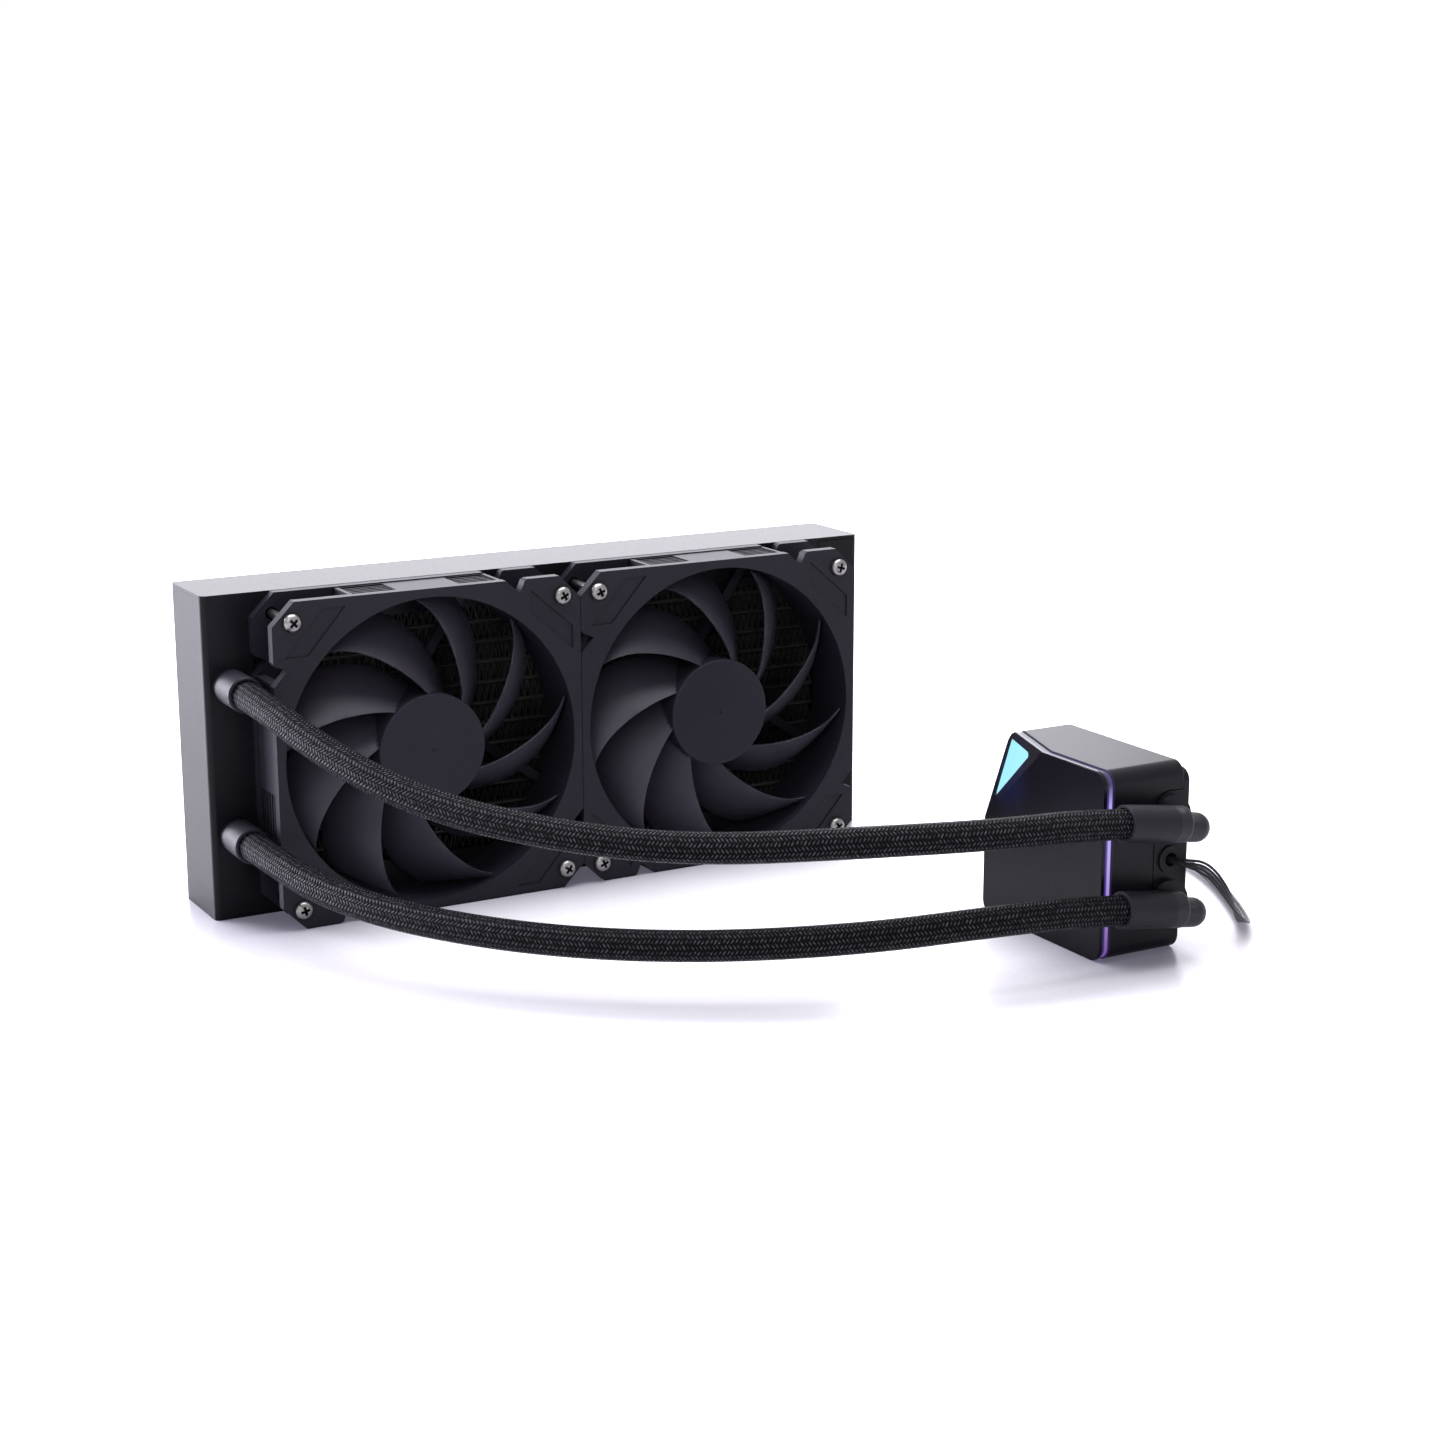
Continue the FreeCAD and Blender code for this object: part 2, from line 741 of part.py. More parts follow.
screws = []
for fan in (-1, 1):
    for side in (-1, 1):
        for up in (-1, 1):
            screws.append(make_fan_screw(fan * fan_pitch / 2 + side * hole_offset, fan_centre_z + up * hole_offset))
parts["fan_screws"] = group(screws)

port_holes = [rod(port_spigot_radius + slot_clearance, (port_x, radiator_front - 1, z),
                  (port_x, radiator_front + tank_wall + 1, z)) for z in (inlet_port_z, outlet_port_z)]
parts["left_tank"] = make_tank(-1).cut(port_holes)
parts["right_tank"] = make_tank(1)
parts["left_header"] = make_header(-1)
parts["right_header"] = make_header(1)
parts["top_rail"] = make_rail(True)
parts["bottom_rail"] = make_rail(False)
parts["core_side_plates"] = make_side_plates()
parts["flat_tubes"] = make_flat_tubes()
parts["fin_strips"] = make_fin_strips()
baffle_inset = tank_wall + slot_clearance
baffle_z = (inlet_port_z + outlet_port_z) / 2
parts["tank_baffle"] = box(
    (-radiator_length / 2 + baffle_inset, radiator_front + baffle_inset, baffle_z - baffle_sheet / 2),
    (-tank_inner_x - header_sheet - slot_clearance, radiator_back - baffle_inset, baffle_z + baffle_sheet / 2))

for name, z in (("inlet", inlet_port_z), ("outlet", outlet_port_z)):
    parts[name + "_fitting"] = make_port_fitting(z)
    collar_start = Vector(port_x, radiator_front - port_base_length, z)
    parts[name + "_collar"] = make_collar(collar_start, Vector(0, -1, 0), port_collar_length)


# Pump head: outline, facet and the slabs that follow it
def head_box(grow):
    """The head's outline along X, grown or shrunk, with the corner cut back by the facet."""
    low = (head_x, head_front_y - grow, -grow)
    high = (head_back, head_front_y + head_width + grow, head_height + grow)
    body = rounded_bar(low, high, head_corner_radius + grow, "x")
    a = Vector(head_x, head_far_y, facet_up)
    b = Vector(head_x, head_front_y + facet_across, head_height)
    c = Vector(head_x + facet_depth, head_far_y, head_height)
    outward = 4.0
    a_out = b + (a - b) * outward
    b_out = a + (b - a) * outward
    ridge = (a + b) * 0.5
    c_out = ridge + (c - ridge) * outward
    lift = Vector(-60, 0, 0)
    base = Part.Face(Part.makePolygon([a_out, c_out, b_out, a_out]))
    return body.cut(base.extrude(lift))


def head_slab(start, end, grow):
    """The layer of the head between two depths behind its front surface."""
    outline = head_box(grow)
    layer = moved(outline, (start, 0, 0))
    if end is not None:
        layer = layer.cut(moved(outline, (end, 0, 0)))
    return layer


def corner_window_outline(grow):
    """The three-cornered light window in the facet."""
    points = [(head_far_y - across, head_height - down) for across, down in window_corners]
    centre = [sum(p[i] for p in points) / 3 for i in (0, 1)]
    loop = []
    for y, z in points:
        away = Vector(y - centre[0], z - centre[1], 0)
        away.normalize()
        loop.append(Vector(head_x - 5, y + away.x * grow, z + away.y * grow))
    body = Part.Face(Part.makePolygon(loop + [loop[0]])).extrude(Vector(40, 0, 0))
    kept = [e for e in body.Edges if abs(e.Curve.Direction.x) > 0.9]
    return body.makeFillet(window_corner_radius, kept)


plate_slab = head_slab(0, plate_thickness, 0)
window_hole = corner_window_outline(0)
parts["front_plate"] = plate_slab.cut(window_hole)
window_slab = head_slab(window_inset, plate_thickness, 0)
parts["corner_window"] = window_slab.common(corner_window_outline(-0.05))

light_slab = head_slab(plate_thickness, shell_start, -light_inset)
light_core = head_slab(plate_thickness - 1, shell_start + 1, -light_inset - light_ring_width)
parts["light_guide"] = light_slab.cut(light_core)

shell = head_slab(shell_start, None, 0)
keep = box((head_x, head_front_y - 1, -1), (head_back, head_far_y + 1, head_height + 1))
shell = shell.common(keep)
hollow = moved(head_box(-head_wall), (shell_start + head_wall, 0, 0))
shell = shell.cut(hollow)
cut_low = lower_swivel_z - block_margin
cut_high = upper_swivel_z + block_margin
block_x = head_back - block_width
side_cut = rounded_bar((block_x, head_front_y - 1, cut_low),
                       (head_back + 2 * block_corner_radius, head_front_y + head_wall + 1, cut_high),
                       block_corner_radius, "y")
parts["pump_housing"] = shell.cut(side_cut)


# Pump body: the block that holds the chamber, the ports and the lead's grommet
def make_pump_body():
    inset = head_wall + block_gap
    main = rounded_bar((body_x, head_front_y + inset, inset),
                       (head_back, head_far_y - inset, head_height - inset), head_corner_radius - inset, "x")
    rim = rounded_bar((head_back - 0.5, head_front_y + block_recess, back_rim_low),
                      (rim_back, head_far_y - block_recess, rim_high), back_rim_radius, "x")
    rim = rim.cut(box((head_x, head_front_y - 1, -1), (head_back, head_far_y + 1, head_height)))
    outline = rounded_bar((block_x + block_gap, head_front_y - 2 * swivel_boss_reach, cut_low + block_gap),
                          (rim_back + 2 * block_corner_radius, head_front_y + inset + 3, cut_high - block_gap),
                          block_corner_radius - block_gap, "y")
    panel = box((head_x, block_face_y, 0), (rim_back, head_front_y + inset + 3, head_height))
    bosses = [rod(swivel_boss_radius, (swivel_x, head_front_y - swivel_boss_reach, z),
                  (swivel_x, block_face_y + 2, z)) for z in (upper_swivel_z, lower_swivel_z)]
    reach = box((head_x, head_front_y - 10, 0), (rim_back, head_front_y + inset + 3, head_height))
    front = fuse([panel] + bosses).common(outline).common(reach)
    body = fuse([main, rim, front])
    seat = plate_size / 2 + plate_seat_gap
    cuts = [rounded_bar((cold_plate_x, head_mid_y - seat, head_mid_z - seat),
                        (rim_back + 1, head_mid_y + seat, head_mid_z + seat), 3.0, "x"),
            rod(chamber_radius, (body_x - 1, head_mid_y, head_mid_z),
                (body_x + chamber_depth, head_mid_y, head_mid_z)),
            rod(4.0, (body_x, head_mid_y, head_mid_z), (cold_plate_x + 1, head_mid_y, head_mid_z))]
    pocket = fin_block_size / 2 + 1.5
    cuts.append(box((cold_plate_x - fin_block_height - 0.5, head_mid_y - pocket, head_mid_z - pocket),
                    (cold_plate_x + 1, head_mid_y + pocket, head_mid_z + pocket)))
    for z in (upper_swivel_z, lower_swivel_z):
        mouth = head_front_y - swivel_boss_reach
        cuts.append(rod(post_radius + post_clearance, (swivel_x, mouth - 1, z), (swivel_x, mouth + post_insert, z)))
        cuts.append(rod(barb_bore_radius, (swivel_x, mouth, z), (swivel_x, head_mid_y - 10, z)))
    cuts.append(rod(grommet_radius, (grommet_x, block_face_y - 1, grommet_z),
                    (grommet_x, block_face_y + grommet_length - grommet_proud, grommet_z)))
    groove_outer = gasket_size / 2 + gasket_section / 2 + gasket_clearance
    groove_inner = gasket_size / 2 - gasket_section / 2 - gasket_clearance
    cuts.append(box((cold_plate_x - gasket_height, head_mid_y - groove_outer, head_mid_z - groove_outer),
                    (cold_plate_x + 1, head_mid_y + groove_outer, head_mid_z + groove_outer))
                .cut(box((cold_plate_x - 3, head_mid_y - groove_inner, head_mid_z - groove_inner),
                         (cold_plate_x + 2, head_mid_y + groove_inner, head_mid_z + groove_inner))))
    for y, z in plate_screw_places():
        cuts.append(rod(plate_screw_radius, (cold_plate_x - plate_screw_length + cold_plate_thickness, y, z),
                        (cold_plate_x + 1, y, z)))
    return body.cut(cuts)


def plate_screw_places():
    half = plate_screw_spacing / 2
    return [(head_mid_y + a * half, head_mid_z + b * half) for a in (-1, 0, 1) for b in (-1, 0, 1) if a or b]


parts["pump_body"] = make_pump_body()


def make_cold_plate():
    half = plate_size / 2
    base = rounded_bar((cold_plate_x, head_mid_y - half, head_mid_z - half),
                       (cold_plate_x + cold_plate_thickness, head_mid_y + half, head_mid_z + half), 3.0, "x")
    block = fin_block_size / 2
    fins = []
    step = (fin_block_size - cold_fin_gap) / cold_fin_count
    for i in range(cold_fin_count):
        y = head_mid_y - block + cold_fin_gap + i * step
        fins.append(box((cold_plate_x - fin_block_height, y, head_mid_z - block),
                        (cold_plate_x, y + step - cold_fin_gap, head_mid_z + block)))
    holes = []
    outer_x = cold_plate_x + cold_plate_thickness
    for y, z in plate_screw_places():
        holes.append(rod(plate_screw_radius + 0.1, (cold_plate_x - 1, y, z), (outer_x + 1, y, z)))
        holes.append(rod(plate_screw_head_radius + 0.1, (outer_x - plate_screw_head_height - 0.1, y, z),
                         (outer_x + 1, y, z)))
    return base.fuse(fins).cut(holes)


def make_plate_screws():
    screws = []
    outer_x = cold_plate_x + cold_plate_thickness
    head_low = outer_x - plate_screw_head_height - 0.1
    for y, z in plate_screw_places():
        head = rod(plate_screw_head_radius, (head_low, y, z), (outer_x - 0.1, y, z))
        shank = rod(plate_screw_radius, (cold_plate_x - plate_screw_length + cold_plate_thickness, y, z),
                    (head_low, y, z))
        screws.append(head.fuse(shank))
    return group(screws)


def make_gasket():
    outer = gasket_size / 2 + gasket_section / 2
    inner = gasket_size / 2 - gasket_section / 2
    low_x = cold_plate_x - gasket_height
    ring = box((low_x, head_mid_y - outer, head_mid_z - outer), (cold_plate_x, head_mid_y + outer, head_mid_z + outer))
    return ring.cut(box((low_x - 1, head_mid_y - inner, head_mid_z - inner),
                        (cold_plate_x + 1, head_mid_y + inner, head_mid_z + inner)))


parts["cold_plate"] = make_cold_plate()
parts["cold_plate_screws"] = make_plate_screws()
parts["cold_plate_gasket"] = make_gasket()


# Pump motor: a magnet rotor with an impeller, turning inside a sealed can
def on_axis(x):
    return (x, head_mid_y, head_mid_z)


can_front = body_x - can_flange_thickness - can_length + can_flange_thickness
can = fuse([rod(can_radius, on_axis(can_front), on_axis(body_x)),
            rod(can_flange_radius, on_axis(body_x - can_flange_thickness), on_axis(body_x))])
can = can.cut(rod(can_radius - can_wall, on_axis(can_front + can_wall), on_axis(body_x + 1)))
can_seat = rod(pump_shaft_radius + 1.4, on_axis(can_front + can_wall - 0.2), on_axis(can_front + can_wall + shaft_seat))
can = can.fuse(can_seat)
can = can.cut(rod(pump_shaft_radius, on_axis(can_front + can_wall), on_axis(body_x)))
parts["rotor_can"] = can

impeller_back = body_x + chamber_depth - impeller_rise
vane_back = impeller_back
disc_start = impeller_back - impeller_vane_height - impeller_disc
rotor_start = disc_start - rotor_length
bush_hole = pump_shaft_radius + bearing_clearance
sleeve = tube(rotor_sleeve_radius, pump_bush_radius, on_axis(rotor_start), on_axis(disc_start + impeller_disc))
disc = tube(impeller_radius, pump_bush_radius, on_axis(disc_start), on_axis(disc_start + impeller_disc))
vane_half = impeller_vane_width / 2
vane = box((disc_start + impeller_disc - 0.2, head_mid_y + impeller_vane_start, head_mid_z - vane_half),
           (vane_back, head_mid_y + impeller_radius - impeller_vane_inset, head_mid_z + vane_half))
vane = turned(vane, (0, head_mid_y + impeller_vane_start, head_mid_z), (1, 0, 0), impeller_vane_turn)
vane = vane.common(rod(impeller_radius, on_axis(disc_start), on_axis(vane_back)))
vanes = [turned(vane, on_axis(0), (1, 0, 0), i * 360.0 / impeller_vanes) for i in range(impeller_vanes)]
parts["impeller"] = fuse([sleeve, disc] + vanes)
parts["impeller_magnet"] = tube(rotor_radius, rotor_sleeve_radius, on_axis(rotor_start), on_axis(disc_start - 0.1))
parts["impeller_bush"] = tube(pump_bush_radius, bush_hole, on_axis(rotor_start), on_axis(disc_start + impeller_disc))
parts["impeller_shaft"] = rod(pump_shaft_radius, on_axis(can_front + can_wall), on_axis(impeller_back))

stator_inner = can_radius + 0.1
stator_end = body_x - can_flange_thickness
stator_start = stator_end - motor_stator_length
stator_ring = tube(motor_stator_radius, motor_stator_radius - motor_stator_ring, on_axis(stator_start),
                   on_axis(stator_end))
pole = box((stator_start, head_mid_y - motor_pole_width / 2, head_mid_z + stator_inner - 1),
           (stator_end, head_mid_y + motor_pole_width / 2, head_mid_z + motor_stator_radius - 1.5))
pole = pole.cut(rod(stator_inner, on_axis(stator_start - 1), on_axis(stator_end + 1)))
poles = [turned(pole, on_axis(0), (1, 0, 0), i * 60) for i in range(6)]
parts["pump_stator"] = fuse([stator_ring] + poles)

board_across = board_width / 2
board_up = board_height / 2
board = rounded_bar((board_x, head_mid_y - board_across, head_mid_z - board_up),
                    (board_x + board_thickness, head_mid_y + board_across, head_mid_z + board_up), 3.0, "x")
board_cut = prism([(board_x - 1, head_front_y + facet_across - board_facet_margin, head_height),
                   (board_x - 1, head_far_y, facet_up - board_facet_margin),
                   (board_x - 1, head_far_y, head_height)], (4, 0, 0))
parts["led_board"] = board.cut(board_cut)


# Swivel elbows: a post in the port block, a round knob end and a barb for the hose
def make_elbow():
    """The upper elbow. The lower one is the same piece."""
    z = upper_swivel_z
    centre = Vector(swivel_x, swivel_y, z)
    post_end = head_front_y - swivel_boss_reach + post_insert - 0.3
    post = rod(post_radius, centre, (swivel_x, post_end, z))
    down = Vector(-elbow_axis.z, 0, elbow_axis.x)
    knob_line = centre + down * elbow_knob_drop
    knob_tip = knob_line - elbow_axis * (elbow_knob_reach + elbow_knob_round)
    knob = rod(elbow_knob_radius, knob_tip, knob_line + elbow_axis * (elbow_shoulder + 2))
    tip_rim = [e for e in knob.Edges if e.Closed and (e.CenterOfMass - knob_tip).Length < 0.01]
    knob = knob.makeFillet(elbow_knob_round, tip_rim)
    body_end = elbow_shoulder + elbow_body_length
    profile = [(elbow_shoulder, 0), (elbow_shoulder, collar_radius), (body_end, collar_radius)]
    profile += barb_profile(body_end) + [(body_end + barb_length, 0)]
    body = revolved(profile, centre, elbow_axis)
    rim = [e for e in body.Edges if e.Closed and (e.CenterOfMass - centre).Length < elbow_shoulder + 0.01]
    body = body.makeFillet(elbow_body_round, rim)
    elbow = knob.fuse([body, post])
    bore = rod(barb_bore_radius, centre, centre + elbow_axis * (body_end + barb_length + 1))
    post_bore = rod(barb_bore_radius, centre, (swivel_x, post_end + 1, z))
    seal_y = head_front_y - swivel_boss_reach + post_insert * 0.55
    seal_groove = tube(post_radius + 1, post_radius - seal_section, (swivel_x, seal_y, z),
                       (swivel_x, seal_y + seal_section + 0.2, z))
    return elbow.cut([bore, post_bore, seal_groove])


elbow_collar_start = elbow_shoulder + elbow_body_length + 0.1
elbow_shape = make_elbow()
seals = []
for name, z in (("upper", upper_swivel_z), ("lower", lower_swivel_z)):
    centre = Vector(swivel_x, swivel_y, z)
    parts[name + "_elbow"] = moved(elbow_shape, (0, 0, z - upper_swivel_z))
    parts[name + "_elbow_collar"] = make_collar(centre + elbow_axis * elbow_collar_start, elbow_axis,
                                                elbow_collar_length)
    seal_y = head_front_y - swivel_boss_reach + post_insert * 0.55 + 0.1
    seals.append(tube(post_radius - 0.1, post_radius - seal_section + 0.1, (swivel_x, seal_y, z),
                      (swivel_x, seal_y + seal_section, z)))
parts["upper_elbow_seal"] = seals[0]
parts["lower_elbow_seal"] = seals[1]

grommet_back = block_face_y + grommet_length - grommet_proud
parts["lead_grommet"] = tube(grommet_radius - 0.05, lead_radius + lead_clearance,
                             (grommet_x, block_face_y - grommet_proud, grommet_z),
                             (grommet_x, grommet_back - 0.05, grommet_z))


# Hoses: bored at both ends for the barbs
def make_hose(route, z, name):
    centre = Vector(swivel_x, swivel_y, z)
    hose_end = centre + elbow_axis * (elbow_collar_start + hose_start_gap)
    end_points = [centre + elbow_axis * elbow_run_start, hose_end]
    wire = route_wire(route + [tuple(p) for p in end_points], name)
    body = swept(wire, hose_radius, name)
    start = Vector(*route[0])
    depth = barb_length + 0.4
    bores = [rod(barb_radius + barb_gap, start + Vector(0, 1, 0), start - Vector(0, depth, 0)),
             rod(barb_radius + barb_gap, hose_end - elbow_axis, hose_end + elbow_axis * depth)]
    return body.cut(bores)


parts["upper_hose"] = make_hose(upper_route, upper_swivel_z, "upper_hose")
parts["lower_hose"] = make_hose(lower_route, lower_swivel_z, "lower_hose")

# Pump lead with the unseen length put away as a coil, and its plug
parts["pump_lead"] = swept(route_wire(lead_route, "pump_lead"), lead_radius, "pump_lead")
coil_x, coil_y = coil_centre
parts["pump_lead_coil"] = tube(coil_radius, coil_inner_radius, (coil_x, coil_y, 0), (coil_x, coil_y, coil_height))
plug_x = coil_x - coil_inner_radius + plug_inset
plug_y = coil_y + plug_offset
plug = box((plug_x, plug_y - connector_size[1] / 2, 0),
           (plug_x + connector_size[0], plug_y + connector_size[1] / 2, connector_size[2]))
for i in range(4):
    y = plug_y - 1.5 * contact_pitch + i * contact_pitch
    plug = plug.cut(box((plug_x - 1, y - connector_slot / 2, 2.2), (plug_x + 8, y + connector_slot / 2, 3.6)))
parts["pump_lead_plug"] = plug

os.makedirs("parts", exist_ok=True)
for node, shape in parts.items():
    if not shape.isValid():
        print("not valid:", node)
    shape.exportStep("parts/" + node + ".step")
print(len(parts), "nodes")
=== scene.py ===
# %% [markdown]
# A two-fan liquid cooler for a computer processor, dressed over its CAD frame.
# The frame brings every rigid piece at its real size and place. This script adds what CAD leaves
# out: rounded edges, fine fins, the braid on the hoses, thin leads, lights and finishes.

# %% Load the frame
import json
import math
import bmesh
import bpy
from mathutils import Matrix, Vector


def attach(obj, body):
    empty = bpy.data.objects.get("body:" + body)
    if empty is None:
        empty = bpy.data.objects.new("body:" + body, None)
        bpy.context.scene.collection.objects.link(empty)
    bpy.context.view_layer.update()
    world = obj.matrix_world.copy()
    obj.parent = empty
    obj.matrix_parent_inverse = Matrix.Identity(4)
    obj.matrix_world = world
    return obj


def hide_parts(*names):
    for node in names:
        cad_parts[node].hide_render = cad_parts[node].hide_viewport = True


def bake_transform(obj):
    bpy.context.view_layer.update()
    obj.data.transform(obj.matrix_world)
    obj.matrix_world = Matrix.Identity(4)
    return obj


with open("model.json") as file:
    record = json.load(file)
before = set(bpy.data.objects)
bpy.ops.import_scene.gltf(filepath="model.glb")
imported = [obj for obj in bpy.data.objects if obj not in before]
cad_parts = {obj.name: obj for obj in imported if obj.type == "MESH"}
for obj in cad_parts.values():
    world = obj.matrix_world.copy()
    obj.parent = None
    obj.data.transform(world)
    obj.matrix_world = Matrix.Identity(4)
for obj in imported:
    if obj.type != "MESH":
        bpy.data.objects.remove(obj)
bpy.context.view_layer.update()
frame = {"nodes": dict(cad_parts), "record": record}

record = frame["record"]
body_of_node = {
    node: body for body, nodes in record["behaviour"]["bodies"].items() for node in nodes}
scene = bpy.context.scene

# %% [markdown]
# Three helpers put data into the scene and turn what a modifier or a curve makes into plain mesh.

# %% Helpers for pieces


def placed(name, data):
    """A new object in the scene that shows a mesh, a curve, a lamp or a camera."""
    piece = bpy.data.objects.new(name, data)
    scene.collection.objects.link(piece)
    return piece


def evaluated_mesh(piece):
    """A plain mesh of what a piece looks like once its modifiers or its curve are worked out."""
    graph = bpy.context.evaluated_depsgraph_get()
    return bpy.data.meshes.new_from_object(piece.evaluated_get(graph))


def applied(piece):
    """Turns a piece's live modifiers into plain mesh."""
    made = evaluated_mesh(piece)
    piece.modifiers.clear()
    piece.data = made
    return piece


# %% [markdown]
# The other helpers build node trees. Each node gets its settings first, then its inputs: a number
# or a colour is set, and another node's socket is linked.

# %% Helpers for node trees


def fill(tree, node, values):
    """Sets or links a node's inputs by their names or numbers."""
    for name, value in values.items():
        if isinstance(value, bpy.types.NodeSocket):
            tree.links.new(value, node.inputs[name])
        else:
            node.inputs[name].default_value = value


def add_node(tree, kind, values=None, **settings):
    node = tree.nodes.new(kind)
    for name, setting in settings.items():
        setattr(node, name, setting)
    fill(tree, node, values or {})
    return node


def calc(tree, operation, a, b=None):
    """The result of a math node on one or two numbers or sockets."""
    values = {0: a} if b is None else {0: a, 1: b}
    return add_node(tree, "ShaderNodeMath", values, operation=operation).outputs[0]


def vector_calc(tree, operation, a, b=None):
    """A vector math node on one or two vectors or sockets."""
    values = {0: a} if b is None else {0: a, 1: b}
    return add_node(tree, "ShaderNodeVectorMath", values, operation=operation)


def add_range(tree, value, limits, results=(0.0, 1.0), **settings):
    """A value that runs between two results while its source runs between two limits."""
    return add_node(tree, "ShaderNodeMapRange", {
        "Value": value, "From Min": limits[0], "From Max": limits[1],
        "To Min": results[0], "To Max": results[1]}, **settings).outputs[0]


def add_ramp(tree, share, stops):
    """The colour that belongs to a share, from (share, colour) stops."""
    ramp = add_node(tree, "ShaderNodeValToRGB", {"Fac": share})
    marks = ramp.color_ramp.elements
    marks[0].position, marks[-1].position = stops[0][0], stops[-1][0]
    for at, _ in stops[1:-1]:
        marks.new(at)
    for mark, (_, colour) in zip(marks, stops):
        mark.color = (*colour, 1)
    return ramp.outputs["Color"]


def own_place(tree):
    """The Object coordinates of a material's node tree."""
    return add_node(tree, "ShaderNodeTexCoord").outputs["Object"]


def seen_plainly(tree):
    """1 where the camera, a mirror or something see-through looks straight at this, else 0."""
    rays = add_node(tree, "ShaderNodeLightPath").outputs
    mirrored = calc(tree, "MAXIMUM", rays["Is Glossy Ray"], rays["Is Transmission Ray"])
    return calc(tree, "MAXIMUM", rays["Is Camera Ray"], mirrored)


# %% [markdown]
# The camera stands to the left of the fans and a little above them, about a metre away.
# Its place and its long lens were worked out from the fans' screws and the radiator's corners, so
# a matrix of its right, up and backward directions sets it exactly.

# %% Camera
camera_data = bpy.data.cameras.new("camera")
camera_data.lens = 63.74
camera_data.sensor_width = 36.0
camera_data.sensor_fit = "HORIZONTAL"
camera_data.clip_end = 50.0
camera = placed("camera", camera_data)
camera_place = (-0.4124, -0.8812, 0.2864)
right = Vector((0.87105, -0.49119, -0.00182)).normalized()
forward = Vector((0.47736, 0.84739, -0.23252)).normalized()
up = right.cross(forward).normalized()
turn = Matrix((right, up, -forward)).transposed().to_4x4()
camera.matrix_world = Matrix.Translation(camera_place) @ turn
scene.camera = camera
scene.view_settings.view_transform = "Standard"
print("camera at", camera_place, "lens", camera_data.lens)

# %% [markdown]
# The picture was taken on a white sweep in a light tent: bright panels stand behind the object and
# to its left, and the side towards the camera is dim. The world is an even, fairly dim grey, and
# is plain white where the camera or a mirror looks straight at it.

# %% World
world = bpy.data.worlds.new("light_tent")
scene.world = world
world.use_nodes = True
sky = world.node_tree
sky.nodes.clear()
tent = add_node(sky, "ShaderNodeBackground", {"Color": (0.90, 0.88, 1.0, 1), "Strength": 0.30})
plain = add_node(sky, "ShaderNodeBackground", {"Color": (1, 1, 1, 1), "Strength": 1.0})
mixed = add_node(sky, "ShaderNodeMixShader",
                 {0: seen_plainly(sky), 1: tent.outputs[0], 2: plain.outputs[0]})
add_node(sky, "ShaderNodeOutputWorld", {"Surface": mixed.outputs[0]})
print("world", world.name, "nodes", len(sky.nodes))

# %% [markdown]
# Two large panels behind the object brighten its top and its left end by grazing reflection, one
# lamp hangs above it, and a weak one stands by the camera. The rows hold each lamp's place, what it
# looks at, its size in metres, its watts and its colour.

# %% Lamps
lamp_rows = {
    "top_lamp": ((0.05, 0.05, 1.35), (0.02, -0.08, 0.0), 1.3, 31.0, (0.96, 0.94, 1.0)),
    "back_panel": ((1.10, 2.2, 0.85), (0.0, -0.05, 0.06), 1.7, 33.0, (0.93, 0.92, 1.0)),
    "left_back_panel": ((-1.3, 1.3, 0.45), (-0.1, 0.0, 0.06), 1.1, 89.0, (0.89, 0.87, 1.0)),
    "front_lamp": ((-0.9, -1.3, 0.9), (0.0, -0.1, 0.05), 0.9, 5.4, (0.97, 0.95, 1.0)),
}
for name, (place, aim, size, watts, colour) in lamp_rows.items():
    lamp_data = bpy.data.lights.new(name, "AREA")
    lamp_data.shape = "SQUARE"
    lamp_data.size = size
    lamp_data.energy = watts
    lamp_data.color = colour
    lamp = placed(name, lamp_data)
    lamp.location = place
    lamp.rotation_euler = (Vector(aim) - Vector(place)).to_track_quat("-Z", "Y").to_euler()
print("lamps", len(lamp_rows))

# %% [markdown]
# The floor is a wide pale sheet. It shows the camera some white of its own: little of it round the
# object, so that the soft shadows stay, and more further out, where the sweep goes over into the
# plain background. Close to the object its colour deepens to lavender, which is painted shade.

# %% Floor
floor_reach = 9.0
shadow_reach = 0.055
floor_middle = (0.04, -0.10, 0)
white_from, white_to = 0.15, 0.75
near_glow, far_glow = 0.52, 1.2
floor_mesh = bpy.data.meshes.new("floor")
floor_mesh.from_pydata([(-floor_reach, -floor_reach, 0), (floor_reach, -floor_reach, 0),
                        (floor_reach, floor_reach, 0), (-floor_reach, floor_reach, 0)],
                       [], [(0, 1, 2, 3)])
floor = placed("floor", floor_mesh)
floor_paint = bpy.data.materials.new("floor_paint")
floor_paint.use_nodes = True
tree = floor_paint.node_tree
tree.nodes.clear()
# Painted shade: an occlusion node darkens the floor's colour and its glow close to the object.
painted_shade_nearness = add_node(tree, "ShaderNodeAmbientOcclusion", {"Distance": shadow_reach}, samples=8)
floor_colour_with_painted_shade = add_ramp(tree, painted_shade_nearness.outputs["AO"],
                [(0.32, (0.17, 0.16, 0.21)), (0.97, (0.76, 0.755, 0.78))])
away = vector_calc(tree, "DISTANCE", own_place(tree), floor_middle).outputs["Value"]
share = add_range(tree, away, (white_from, white_to), (near_glow, far_glow),
                  interpolation_type="SMOOTHSTEP")
skin = add_node(tree, "ShaderNodeBsdfPrincipled",
                {"Base Color": floor_colour_with_painted_shade, "Roughness": 0.28, "Specular IOR Level": 0.35})
glow = add_node(tree, "ShaderNodeEmission",
                {"Color": floor_colour_with_painted_shade, "Strength": calc(tree, "MULTIPLY", seen_plainly(tree), share)})
both = add_node(tree, "ShaderNodeAddShader", {0: skin.outputs[0], 1: glow.outputs[0]})
add_node(tree, "ShaderNodeOutputMaterial", {"Surface": both.outputs[0]})
floor_mesh.materials.append(floor_paint)
print("floor nodes", len(tree.nodes))

